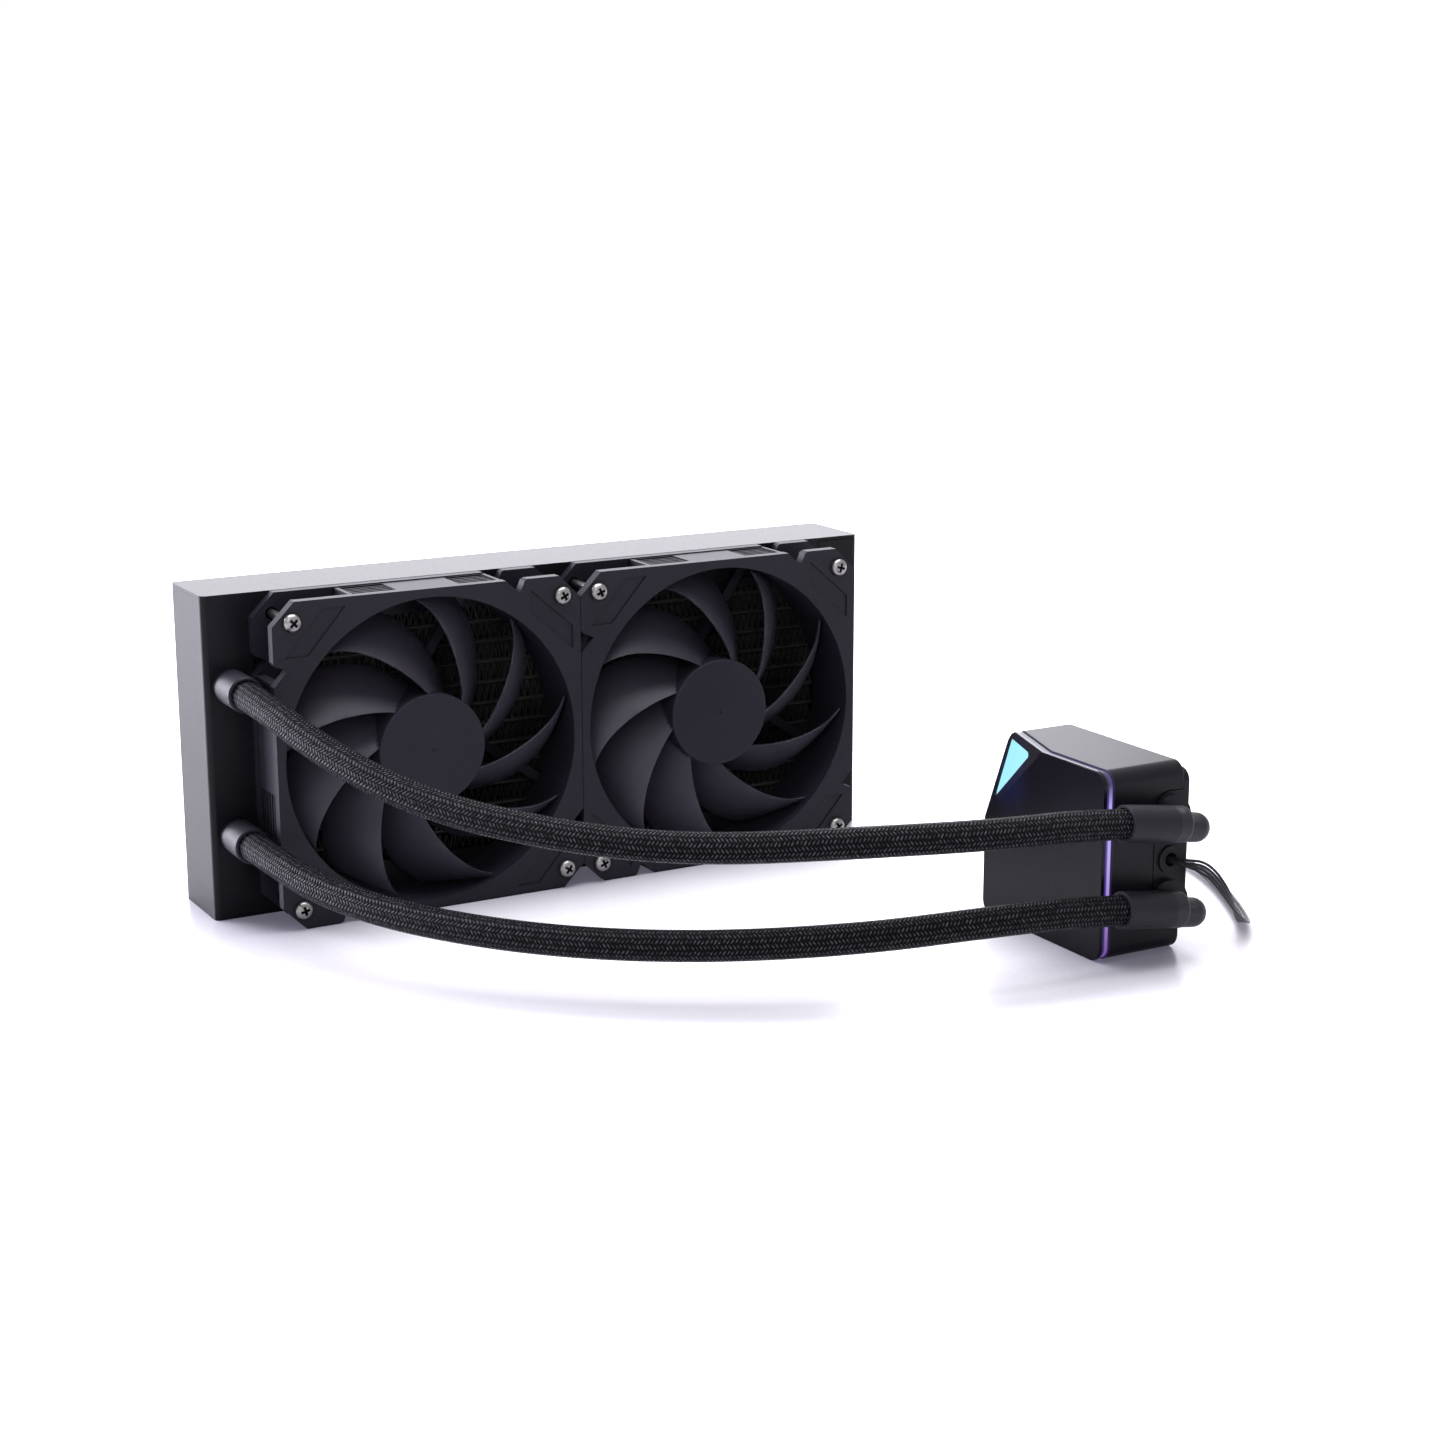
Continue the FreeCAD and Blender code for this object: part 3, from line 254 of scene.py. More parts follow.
# %% [markdown]
# Every finish here is a small node tree on Object coordinates. A moulded or painted surface has a
# fine grain, a slight unevenness in its gloss and a very slight cloudiness in its colour, and
# those three come from noise at two scales. Only the numbers differ from finish to finish.

# %% One grained finish


def new_finish(name):
    """A material, its node tree and its shader."""
    material = bpy.data.materials.new(name)
    material.use_nodes = True
    return material, material.node_tree, material.node_tree.nodes["Principled BSDF"]


def grained_finish(name, colour, second_colour, roughness, swing, grain_mm, bump, metallic=0.0,
                   specular=0.5, cloud_mm=40.0):
    """A solid finish with cloudy colour, uneven gloss and a fine grain."""
    material, tree, shader = new_finish(name)
    place = own_place(tree)
    cloud = add_node(tree, "ShaderNodeTexNoise",
                     {"Vector": place, "Scale": 1000.0 / cloud_mm, "Detail": 4.0})
    grain = add_node(tree, "ShaderNodeTexNoise",
                     {"Vector": place, "Scale": 1000.0 / grain_mm, "Detail": 3.0}).outputs["Fac"]
    relief = add_node(tree, "ShaderNodeBump",
                      {"Height": grain, "Strength": bump, "Distance": grain_mm / 4000.0})
    fill(tree, shader, {
        "Base Color": add_ramp(tree, cloud.outputs["Fac"], [(0.35, colour), (0.65, second_colour)]),
        "Roughness": add_range(tree, grain, (0.0, 1.0), (roughness - swing, roughness + swing)),
        "Normal": relief.outputs["Normal"],
        "Metallic": metallic,
        "Specular IOR Level": specular})
    return material


# %% [markdown]
# Each row holds the two colours that the clouds run between, the roughness and its swing, the size
# of the grain in millimetres, the strength of its relief, and what differs from plain plastic.

# %% Finishes
dim, dimmer, dimmest = {"specular": 0.15}, {"specular": 0.12}, {"specular": 0.11}
elbow_colours = (0.0120, 0.0112, 0.0160), (0.0165, 0.0152, 0.0210)
finish_rows = {
    "black_paint": ((0.0050, 0.0047, 0.0065), (0.0068, 0.0064, 0.0088), 0.36, 0.04, 0.9, 0.12,
                    dimmest),
    "dark_fins": ((0.024, 0.023, 0.022), (0.050, 0.048, 0.044), 0.40, 0.1, 1.2, 0.1,
                  {"specular": 0.3}),
    "fan_plastic": ((0.0125, 0.0112, 0.0172), (0.0155, 0.0138, 0.0210), 0.50, 0.06, 0.35, 0.25,
                    {"specular": 0.18}),
    # The blades' lighter colour is painted light, in place of the light that reaches them.
    "blade_plastic_painted_lighter": ((0.036, 0.033, 0.045), (0.044, 0.040, 0.055), 0.46, 0.05, 0.35, 0.12,
                      {"specular": 0.30}),
    "hub_plastic": ((0.016, 0.015, 0.022), (0.020, 0.0185, 0.027), 0.45, 0.05, 0.35, 0.12, dim),
    "gloss_black": ((0.0075, 0.0068, 0.0105), (0.0088, 0.0080, 0.0122), 0.22, 0.012, 2.5, 0.01,
                    dimmer),
    "housing_black": ((0.0070, 0.0065, 0.0095), (0.0095, 0.0088, 0.0125), 0.38, 0.04, 0.5, 0.12,
                      dimmer),
    "collar_black": (*elbow_colours, 0.46, 0.05, 0.6, 0.12, dim),
    "elbow_black": (*elbow_colours, 0.42, 0.05, 0.6, 0.12, {"specular": 0.22}),
    "wire_black": ((0.018, 0.017, 0.021), (0.028, 0.027, 0.033), 0.36, 0.08, 0.5, 0.2,
                   {"specular": 0.16}),
    # The screws' recess walls take this near-black colour as painted shade.
    "recess_painted_shade": ((0.010, 0.010, 0.011), (0.016, 0.016, 0.017), 0.5, 0.05, 0.3, 0.2,
                    {"metallic": 0.3, "specular": 0.2}),
    "soft_rubber": ((0.008, 0.008, 0.010), (0.012, 0.012, 0.014), 0.6, 0.08, 0.5, 0.2,
                    {"specular": 0.18}),
    "bright_steel": ((0.20, 0.195, 0.195), (0.30, 0.29, 0.29), 0.30, 0.07, 0.5, 0.08,
                     {"metallic": 1.0, "cloud_mm": 4.0}),
    "magnet_grey": ((0.05, 0.05, 0.055), (0.075, 0.075, 0.08), 0.5, 0.08, 0.4, 0.3,
                    {"metallic": 0.6}),
    "board_green": ((0.01, 0.06, 0.025), (0.015, 0.085, 0.035), 0.35, 0.05, 0.8, 0.1, {}),
}
finishes = {name: grained_finish(name, *row, **more) for name, (*row, more) in finish_rows.items()}
print("finishes", len(finishes))

# %% [markdown]
# Copper shows the marks of the tool that faced it, so its bump comes from a wave of fine bands.

# %% Metal with tool marks


def machined_finish(name, colour, second_colour, roughness, band_mm):
    """A faced metal with parallel fine bands in its relief."""
    material = grained_finish(name, colour, second_colour, roughness, 0.06, 0.6, 0.05,
                              metallic=1.0, cloud_mm=8.0)
    tree = material.node_tree
    bands = add_node(tree, "ShaderNodeTexWave", {
        "Vector": tree.nodes["Texture Coordinate"].outputs["Object"],
        "Scale": 1000.0 / band_mm / 6.2832, "Distortion": 0.6}, bands_direction="Z")
    fill(tree, tree.nodes["Bump"],
         {"Height": bands.outputs["Fac"], "Strength": 0.25, "Distance": 0.00004})
    return material


faced_copper = machined_finish("faced_copper", (0.60, 0.26, 0.15), (0.70, 0.33, 0.20), 0.30, 0.5)
wound_copper = machined_finish("wound_copper", (0.42, 0.14, 0.05), (0.52, 0.19, 0.07), 0.38, 0.45)

# %% [markdown]
# A cord's line is one smooth NURBS spline whose control points are the route. Its own curve is
# read back as a chain of points, and everything on the cord follows that chain.

# %% Cord line


def cord_line(name, points, resolution=20):
    """The points of a NURBS spline that a route steers, from end to end."""
    data = bpy.data.curves.new(name, "CURVE")
    data.dimensions = "3D"
    spline = data.splines.new("NURBS")
    spline.points.add(len(points) - 1)
    for place, point in zip(points, spline.points):
        point.co = (*place, 1.0)
    spline.order_u = 3
    spline.use_endpoint_u = True
    spline.resolution_u = resolution
    holder = placed(name, data)
    mesh = evaluated_mesh(holder)
    line = [v.co.copy() for v in mesh.vertices]
    bpy.data.meshes.remove(mesh)
    bpy.data.objects.remove(holder)
    kept = line[:1]
    for point in line[1:]:
        if (point - kept[-1]).length > 1e-5:
            kept.append(point)
    return kept


def run_lengths(line):
    """How far along a line each of its points lies."""
    runs = [0.0]
    for a, b in zip(line, line[1:]):
        runs.append(runs[-1] + (b - a).length)
    return runs


def direction_at(line, i):
    return (line[min(i + 1, len(line) - 1)] - line[max(i - 1, 0)]).normalized()


def line_frames(line, first_side):
    """A direction, a side and a normal at every point, carried along without twist."""
    frames = []
    side = Vector(first_side)
    for i in range(len(line)):
        along = direction_at(line, i)
        side = (side - along * side.dot(along)).normalized()
        frames.append((along, side, along.cross(side).normalized()))
    return frames


# %% [markdown]
# A tube is one closed skin round such a line. Its UV map measures along and round it, which is
# where the braid is drawn.

# %% Tube


def tube_mesh(name, line, frames, radius, sides, material):
    """A closed tube round a line, with a UV map: U in metres along it, V once round it."""
    runs = run_lengths(line)
    verts = []
    for point, (_, side, normal) in zip(line, frames):
        for k in range(sides):
            angle = 2 * math.pi * k / sides
            verts.append(point + (side * math.cos(angle) + normal * math.sin(angle)) * radius)
    faces = []
    uvs = []
    for i in range(len(line) - 1):
        for k in range(sides):
            corners = ((i, k), (i, k + 1), (i + 1, k + 1), (i + 1, k))
            faces.append([row * sides + step % sides for row, step in corners])
            uvs += [(runs[row], step / sides) for row, step in corners]
    for row, order in ((0, range(sides - 1, -1, -1)), (len(line) - 1, range(sides))):
        faces.append([row * sides + k for k in order])
        uvs += [(runs[row], k / sides) for k in order]
    mesh = bpy.data.meshes.new(name)
    mesh.from_pydata(verts, [], faces)
    layer = mesh.uv_layers.new(name="along_and_round")
    layer.data.foreach_set("uv", [c for uv in uvs for c in uv])
    mesh.shade_smooth()
    mesh.materials.append(material)
    return placed(name, mesh)


# %% [markdown]
# The hoses wear a braided sleeve: yarns run round it both ways and pass over two and under two, so
# rows of short slanting stitches run along the hose. Two sawtooth coordinates, one per direction
# of yarn, give each stitch its place. Which yarn lies on top follows from the sum of their counts.
# The colour runs from near black in the gaps up to a painted glint on each yarn's crest.

# %% Braid finish


def braid_finish(name, dark, light, yarns, pitch_mm, bump):
    """A two-over, two-under braid on a UV map of metres along and turns round."""
    material, tree, shader = new_finish(name)
    uv = add_node(tree, "ShaderNodeUVMap", uv_map="along_and_round")
    split = add_node(tree, "ShaderNodeSeparateXYZ", {0: uv.outputs[0]}).outputs
    along = calc(tree, "MULTIPLY", split["X"], 1000.0 / pitch_mm)
    around = calc(tree, "MULTIPLY", split["Y"], float(yarns))
    rising = calc(tree, "ADD", around, along)
    falling = calc(tree, "ADD", calc(tree, "SUBTRACT", around, along), 4000.0)
    rising_place, falling_place = (calc(tree, "FRACT", yarn) for yarn in (rising, falling))
    rising_count, falling_count = (calc(tree, "FLOOR", yarn) for yarn in (rising, falling))
    total = calc(tree, "MODULO", calc(tree, "ADD", rising_count, falling_count), 4.0)
    on_top = calc(tree, "LESS_THAN", total, 1.5)

    def of_upper(falling_value, rising_value):
        """The value that belongs to whichever yarn lies on top."""
        return add_node(tree, "ShaderNodeMix", {
            "Factor": on_top, "A": falling_value, "B": rising_value}).outputs["Result"]

    def arch_over(place, width):
        return calc(tree, "SINE", calc(tree, "MULTIPLY", place, width))

    arch = of_upper(arch_over(falling_place, math.pi), arch_over(rising_place, math.pi))
    stitch_place = of_upper(
        calc(tree, "ADD", calc(tree, "SUBTRACT", total, 2.0), rising_place),
        calc(tree, "ADD", total, falling_place))
    crest = calc(tree, "POWER", arch_over(stitch_place, math.pi / 2), 0.35)
    height = calc(tree, "MULTIPLY", calc(tree, "POWER", arch, 0.9), crest)
    stitch = add_node(tree, "ShaderNodeCombineXYZ", {0: rising_count, 1: falling_count})
    chance = add_node(tree, "ShaderNodeTexWhiteNoise", {"Vector": stitch.outputs[0]},
                      noise_dimensions="2D")
    # The colour is painted light: each yarn's height runs it from near black in the gaps up to a
    # painted glint on the crest, and a random factor varies each stitch.
    shade = calc(tree, "ADD", calc(tree, "MULTIPLY", chance.outputs["Value"], 0.3), 0.7)
    shade = calc(tree, "MULTIPLY", shade, height)
    relief = add_node(tree, "ShaderNodeBump",
                      {"Height": height, "Strength": bump, "Distance": 0.0004})
    fill(tree, shader, {
        "Base Color": add_ramp(tree, shade, [(0.58, dark), (1.0, light)]),
        "Roughness": add_range(tree, shade, (0.0, 1.0), (0.62, 0.36)),
        "Normal": relief.outputs["Normal"],
        "Specular IOR Level": 0.06})
    return material


# The second colour is a painted glint on the yarns' crests.
hose_braid = braid_finish("hose_braid", (0.0008, 0.0008, 0.0012), (0.096, 0.092, 0.110),
                          yarns=18, pitch_mm=1.35, bump=1.0)

# %% [markdown]
# Both hoses leave the left tank, sweep round to the front and lie nearly level between the fans
# and the pump head. The tube is one closed skin, because the braid's yarns are finer than a
# picture dot and a bump shows them well.
# Each row holds the elbow's body, its swivel, the place where the bend starts, and the route up to
# the elbow's collar.

# %% Hoses
hose_diameter = 0.0106
hose_sides = 40
tilt = math.radians(8.0)
elbow_axis = Vector((-math.cos(tilt), 0, math.sin(tilt)))
collar_mouth, hose_end = 0.0404, 0.0074
hose_rows = {
    "upper_hose_sleeve": (
        "upper_elbow_body", (0.13975, -0.224, 0.0487), (-0.0200, -0.1880, 0.045), [
            (-0.1278, -0.0206, 0.0868), (-0.1278, -0.0508, 0.0868), (-0.1183, -0.0874, 0.0755),
            (-0.0972, -0.1242, 0.0632), (-0.0631, -0.1597, 0.0565), (-0.0285, -0.1846, 0.0537),
            (0.0181, -0.2075, 0.0552), (0.0649, -0.2203, 0.0546)]),
    "lower_hose_sleeve": (
        "lower_elbow_body", (0.13975, -0.224, 0.0182), (0.0300, -0.2130, 0.045), [
            (-0.1278, -0.0206, 0.0315), (-0.1278, -0.0508, 0.0315), (-0.1200, -0.0860, 0.0266),
            (-0.1020, -0.1190, 0.0234), (-0.0700, -0.1540, 0.0209), (-0.0295, -0.1840, 0.0206),
            (0.0181, -0.2078, 0.0225), (0.0649, -0.2206, 0.0249)]),
}
for name, (elbow, swivel, bend_start, route) in hose_rows.items():
    route += [tuple(Vector(swivel) + elbow_axis * reach) for reach in (collar_mouth, hose_end)]
    line = cord_line(name + "_line", route)
    hose = tube_mesh(name, line, line_frames(line, (0, 0, 1)), hose_diameter / 2, hose_sides,
                     hose_braid)
    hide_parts(name.replace("_sleeve", ""))
    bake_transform(hose)

# %% [markdown]
# The pump lead is four thin leads side by side. They leave the grommet as a bundle, spread into a
# flat ribbon as they fall to the floor, and run back behind the head, where the spare length
# stands on edge in two turns. One spline carries all of it.

# %% Pump lead line


def clamped(share):
    return min(max(share, 0.0), 1.0)


def eased(share):
    """A share between 0 and 1 that starts and stops softly."""
    share = clamped(share)
    return share * share * (3 - 2 * share)


coil_middle = (0.186, -0.112)
coil_height = 0.0026
coil_turns, turn_steps = 1.9, 14
outer_radius, radius_step = 0.0266, 0.0051
step_from, step_over = 0.75, 0.5
lead_route = [
    (0.1415, -0.2125, 0.0334), (0.1415, -0.2203, 0.0334), (0.1503, -0.2234, 0.0316),
    (0.1606, -0.2226, 0.0206), (0.1700, -0.2194, 0.0086), (0.1815, -0.2095, 0.0022),
    (0.1928, -0.1902, 0.0022), (0.2035, -0.1685, 0.0022), (0.2105, -0.1505, 0.0023),
    (0.2138, -0.1350, 0.0025)]
for i in range(int(turn_steps * coil_turns) + 1):
    radius = outer_radius - radius_step * eased((i / turn_steps - step_from) / step_over)
    angle = 2 * math.pi * i / turn_steps
    lead_route.append((coil_middle[0] + radius * math.cos(angle),
                       coil_middle[1] + radius * math.sin(angle), coil_height))
lead_route += [
    (0.2030, -0.1110, 0.0027), (0.1950, -0.1085, 0.0029), (0.1870, -0.1083, 0.0030),
    (0.1790, -0.1083, 0.0030)]
lead_line = cord_line("pump_lead_line", lead_route, 10)
lead_runs = run_lengths(lead_line)

# %% [markdown]
# The ribbon's flat side faces the front at the grommet, the sky on the floor and away from the
# coil's middle in the coil. Four thin tubes follow the line side by side.

# %% Pump lead
lying_from, lying_over = 0.012, 0.046
standing_from, standing_over = 0.130, 0.042
spread_over = 0.016
wire_radius = 0.00050
wire_pitch = 0.00122
wire_sides = 10


def lead_frames(line, runs):
    """A direction, a side and a normal at every point of the ribbon."""
    frames = []
    for i, (point, run) in enumerate(zip(line, runs)):
        along = direction_at(line, i)
        outwards = (point - Vector((*coil_middle, point.z))).normalized()
        lying = clamped((run - lying_from) / lying_over)
        standing = clamped((run - standing_from) / standing_over)
        wish = Vector((0, -1, 0)).lerp(Vector((0, 0, 1)), lying).lerp(outwards, standing)
        side = along.cross(wish).normalized()
        frames.append((along, side, side.cross(along).normalized()))
    return frames


wires = []
ribbon_frames = lead_frames(lead_line, lead_runs)
for k, (across, above) in enumerate(((-0.5, -0.5), (0.5, -0.5), (0.5, 0.5), (-0.5, 0.5))):
    path = []
    for point, (_, side, normal), run in zip(lead_line, ribbon_frames, lead_runs):
        spread = eased(run / spread_over)
        aside = across + (k - 1.5 - across) * spread
        path.append(point + (side * aside + normal * above * (1 - spread)) * wire_pitch)
    frames = line_frames(path, ribbon_frames[0][1])
    wires.append(tube_mesh("wire_" + str(k), path, frames, wire_radius, wire_sides,
                           finishes["wire_black"]))
with bpy.context.temp_override(active_object=wires[0], selected_editable_objects=wires):
    bpy.ops.object.join()
lead = wires[0]
lead.name = "pump_lead_ribbon"
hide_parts("pump_lead", "pump_lead_coil")
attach(lead, "root")
print("pump lead faces", len(lead.data.polygons))

# %% [markdown]
# The solids from CAD have sharp edges and loose triangles. For the pieces that show, a copy is
# merged, shaded smooth across shallow angles and given a narrow bevel, as moulds and presses
# leave. The copy then stands for the solid.

# %% A finished copy
merge_reach = 2e-6
flat_angle, bevel_angle = math.radians(0.5), math.radians(40)


def solid_piece(name, shape, material, smooth_deg=None):
    """A piece from a bmesh, shaded smooth across angles up to the one that is given."""
    mesh = bpy.data.meshes.new(name)
    shape.to_mesh(mesh)
    shape.free()
    mesh.materials.append(material)
    if smooth_deg:
        mesh.shade_smooth()
        mesh.set_sharp_from_angle(angle=math.radians(smooth_deg))
    return placed(name, mesh)


def finished_copy(node, material, bevel_mm=0.0, smooth_deg=35.0, reshape=None):
    """A merged, smoothed and bevelled copy of a CAD node, which it replaces."""
    shape = bmesh.new()
    shape.from_mesh(frame["nodes"][node].data)
    bmesh.ops.remove_doubles(shape, verts=shape.verts, dist=merge_reach)
    bmesh.ops.dissolve_limit(shape, angle_limit=flat_angle, verts=shape.verts, edges=shape.edges)
    if reshape:
        for vert in shape.verts:
            vert.co = reshape(vert.co)
    piece = solid_piece(node + "_finished", shape, material, smooth_deg)
    if bevel_mm:
        bevel = piece.modifiers.new("edge_round", "BEVEL")
        bevel.width = bevel_mm / 1000.0
        bevel.segments = 2
        bevel.limit_method = "ANGLE"
        bevel.angle_limit = bevel_angle
        bevel.use_clamp_overlap = True
    weighted = piece.modifiers.new("flat_faces_first", "WEIGHTED_NORMAL")
    weighted.keep_sharp = True
    weighted.weight = 100
    applied(piece)
    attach(piece, body_of_node[node])
    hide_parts(node)
    return piece


# %% [markdown]
# The head's front slabs follow its front surface, which is flat but for the facet that cuts one
# corner back. A point's depth is how far it lies behind that surface. Two reshapes use it. One
# moves the seam between the plate and the light guide to where the line of light is seen to begin.
# The other draws the window's tip and its inner corner out along the facet.

# %% Shape of the pump head's front
head_front = 0.112
head_edge, head_top = -0.1447, 0.0676
facet_low = Vector((head_front, head_edge, 0.0360))
facet_high = Vector((head_front, -0.1785, head_top))
facet_far = Vector((head_front + 0.0109, head_edge, head_top))
facet_normal = (facet_low - facet_high).cross(facet_far - facet_high).normalized()
seam_in_cad, seam_seen, seam_reach = 0.0026, 0.0014, 0.0006
# Each corner's place, across and down from the head's far upper corner, and its shift.
window_draws = (((0.0041, 0.0226), (-0.0010, 0.0019)), ((0.0226, 0.0016), (0.0019, 0.0020)))
draw_reach, window_margin = 0.007, 0.0010


def head_depth(place):
    rest = facet_normal.y * (place.y - facet_high.y) + facet_normal.z * (place.z - facet_high.z)
    return place.x - max(head_front, head_front - rest / facet_normal.x)


def thinner_plate(place):
    """Moves the seam between the plate and the light guide forward."""
    at_seam = abs(head_depth(place) - seam_in_cad) < seam_reach
    return place - Vector((seam_in_cad - seam_seen if at_seam else 0.0, 0, 0))


def drawn_window(place):
    """Draws the window's corners out along the facet, then thins the plate."""
    across, down = head_edge - place.y, head_top - place.z
    moved = place.copy()
    if min(across, down) > window_margin:
        for (corner_across, corner_down), (more_across, more_down) in window_draws:
            away = math.hypot(across - corner_across, down - corner_down)
            weight = max(0.0, 1 - (away / draw_reach) ** 2) ** 2
            moved.y -= weight * more_across
            moved.z -= weight * more_down
        moved.x += head_depth(place) - head_depth(moved)
    return thinner_plate(moved)


# %% [markdown]
# Most pieces only take a finish and, where they are pressed or moulded with soft edges, a bevel in
# millimetres. The hubs of the rotors have a duller skin than the blades. The blades are painted
# lighter than the hubs and the frames, as painted light that stands in for the light on them.

# %% Pieces that keep the CAD shape
hub_height = 0.06
hub_reach = 0.02105  # the hub's radius and 0.3 mm more
for side, hub_x in (("left", -0.06), ("right", 0.06)):
    finished_copy(side + "_fan_frame", finishes["fan_plastic"], 0.25)
    rotor_mesh = finished_copy(side + "_fan_rotor", finishes["blade_plastic_painted_lighter"], 0.0, 40.0).data
    rotor_mesh.materials.append(finishes["hub_plastic"])
    for face in rotor_mesh.polygons:
        if math.hypot(face.center.x - hub_x, face.center.z - hub_height) < hub_reach:
            face.material_index = 1
copy_rows = (
    ("left_tank", "black_paint", 0.45), ("right_tank", "black_paint", 0.45),
    ("top_rail", "black_paint", 0.0), ("bottom_rail", "black_paint", 0.0),
    ("pump_housing", "housing_black", 0.25), ("pump_body", "housing_black", 0.25),
    ("inlet_collar", "collar_black", 0.0), ("outlet_collar", "collar_black", 0.0),
    ("upper_elbow_collar", "collar_black", 0.0), ("lower_elbow_collar", "collar_black", 0.0),
    ("upper_elbow", "elbow_black", 0.0), ("lower_elbow", "elbow_black", 0.0))
for node, finish, bevel_mm in copy_rows:
    finished_copy(node, finishes[finish], bevel_mm)
finished_copy("front_plate", finishes["gloss_black"], 0.25, reshape=drawn_window)
print("rotor faces", len(rotor_mesh.polygons), "other copies", len(copy_rows) + 1)

# %% [markdown]
# The lights are moulded strips lit from behind. The line round the front is purple at the bottom,
# pale violet up the side and a dim grey blue along the top, so its colour follows the sum of depth
# and height; the glow along the top is a painted reflection over the real one. The corner window
# is an even pale blue green. Both bleed a little into the black round them.

# %% Lit finishes


def lit_finish(name, stops, direction, low, high):
    """A milky lit plastic. Its stops run between two reaches along a direction."""
    material, tree, shader = new_finish(name)
    reach = vector_calc(tree, "DOT_PRODUCT", own_place(tree), direction).outputs["Value"]
    fill(tree, shader, {
        "Emission Color": add_ramp(tree, add_range(tree, reach, (low, high)), stops),
        "Emission Strength": 1.0,
        "Base Color": (0.03, 0.03, 0.04, 1),
        "Roughness": 0.35,
        "Specular IOR Level": 0.15})
    return material


def multiply_input(material, name, colour):
    """Multiplies the colour that feeds an input of a material's shader by another one."""
    tree = material.node_tree
    socket = tree.nodes["Principled BSDF"].inputs[name]
    tint = add_node(tree, "ShaderNodeMix", {
        "Factor": 1.0, "A": socket.links[0].from_socket, "B": colour},
        data_type="RGBA", blend_type="MULTIPLY")
    tree.links.new(tint.outputs["Result"], socket)


def add_shade(material, reach, deepest):
    """Deepens a finish in its own grooves and inner corners, where little light comes in."""
    tree = material.node_tree
    crevice = add_node(tree, "ShaderNodeAmbientOcclusion", {"Distance": reach}, samples=6)
    multiply_input(material, "Base Color", add_ramp(
        tree, crevice.outputs["AO"], [(0.45, (deepest, deepest, deepest)), (0.95, (1, 1, 1))]))


def add_bleed(material, colour, middle, weight, near, far):
    """Light that bleeds into a black finish, from full near a place to none far from it."""
    tree = material.node_tree
    place = tree.nodes["Texture Coordinate"].outputs["Object"]
    away = vector_calc(tree, "SUBTRACT", place, middle).outputs[0]
    weighed = vector_calc(tree, "MULTIPLY", away, weight).outputs[0]
    span = vector_calc(tree, "LENGTH", weighed).outputs["Value"]
    fade = add_range(tree, span, (near, far), (1.0, 0.0), interpolation_type="SMOOTHSTEP")
    fill(tree, tree.nodes["Principled BSDF"],
         {"Emission Strength": fade, "Emission Color": (*colour, 1)})


def add_core(material, layer, stops):
    """Gives a lit finish a bright core. Its stops run along the U of a UV layer, in millimetres."""
    tree = material.node_tree
    depth = add_node(tree, "ShaderNodeUVMap", uv_map=layer).outputs["UV"]
    split = add_node(tree, "ShaderNodeSeparateXYZ", {0: depth})
    first, last = stops[0][0], stops[-1][0]
    share = add_range(tree, split.outputs["X"], (first, last))
    multiply_input(material, "Emission Color", add_ramp(
        tree, share, [((at - first) / (last - first), colour) for at, colour in stops]))


def depth_layer(piece, layer):
    """A UV layer whose U is each corner's depth behind the head's front, in millimetres."""
    mesh = piece.data
    made = mesh.uv_layers.new(name=layer)
    for loop in mesh.loops:
        made.data[loop.index].uv = (head_depth(mesh.vertices[loop.vertex_index].co) * 1000.0, 0.5)


# %% [markdown]
# Across its depth the line of light is dark violet beside the plate and bright in its core.

# %% Lights
# Along the top the line glows a dim grey blue, which is a painted reflection.
line_light = lit_finish("line_light", [
    (0.0, (0.12, 0.05, 0.24)), (0.18, (0.33, 0.22, 0.56)), (0.35, (0.44, 0.37, 0.77)),
    (0.54, (0.44, 0.38, 0.80)), (0.61, (0.05, 0.05, 0.12)), (0.80, (0.03, 0.035, 0.06)),
    (0.92, (0.05, 0.07, 0.10)), (1.0, (0.06, 0.08, 0.11))], (0, 1, 1), -0.2142, -0.1092)
corner_light = lit_finish("corner_light", [
    (0.0, (0.38, 0.84, 0.97)), (0.5, (0.36, 0.86, 0.98)), (1.0, (0.35, 0.86, 0.98))],
    (0, 0, 1), 0.040, 0.066)
add_shade(finishes["fan_plastic"], 0.0015, 0.1)
add_core(line_light, "depth", [
    (1.4, (0.05, 0.03, 0.16)), (2.4, (0.20, 0.10, 0.42)), (2.8, (1, 1, 1)), (3.85, (1, 1, 1)),
    (4.0, (0.5, 0.4, 0.7))])
add_bleed(finishes["gloss_black"], (0.004, 0.008, 0.042), (0.119, -0.1585, 0.0540), (1, 1, 1),
          0.003, 0.018)
add_bleed(finishes["housing_black"], (0.030, 0.012, 0.090), (0.1155, 0, 0), (1, 0, 0),
          0.0002, 0.0013)
depth_layer(finished_copy("light_guide", line_light, reshape=thinner_plate), "depth")
window = finished_copy("corner_window", corner_light, 0.15, reshape=drawn_window)
print("window faces", len(window.data.polygons))

# %% [markdown]
# What repeats is laid out by Geometry Nodes. One helper starts a tree with named inputs, and the
# other runs it and keeps what it makes as plain mesh.

# %% Helpers for geometry trees


def geometry_tree(name, inputs):
    """A modifier's node tree with its named inputs, and the sockets that give them."""
    tree = bpy.data.node_groups.new(name, "GeometryNodeTree")
    face = tree.interface
    for label, kind in (("Geometry", "Geometry"), *inputs):
        face.new_socket(label, in_out="INPUT", socket_type="NodeSocket" + kind)
    face.new_socket("Geometry", in_out="OUTPUT", socket_type="NodeSocketGeometry")
    return tree, tree.nodes.new("NodeGroupInput").outputs


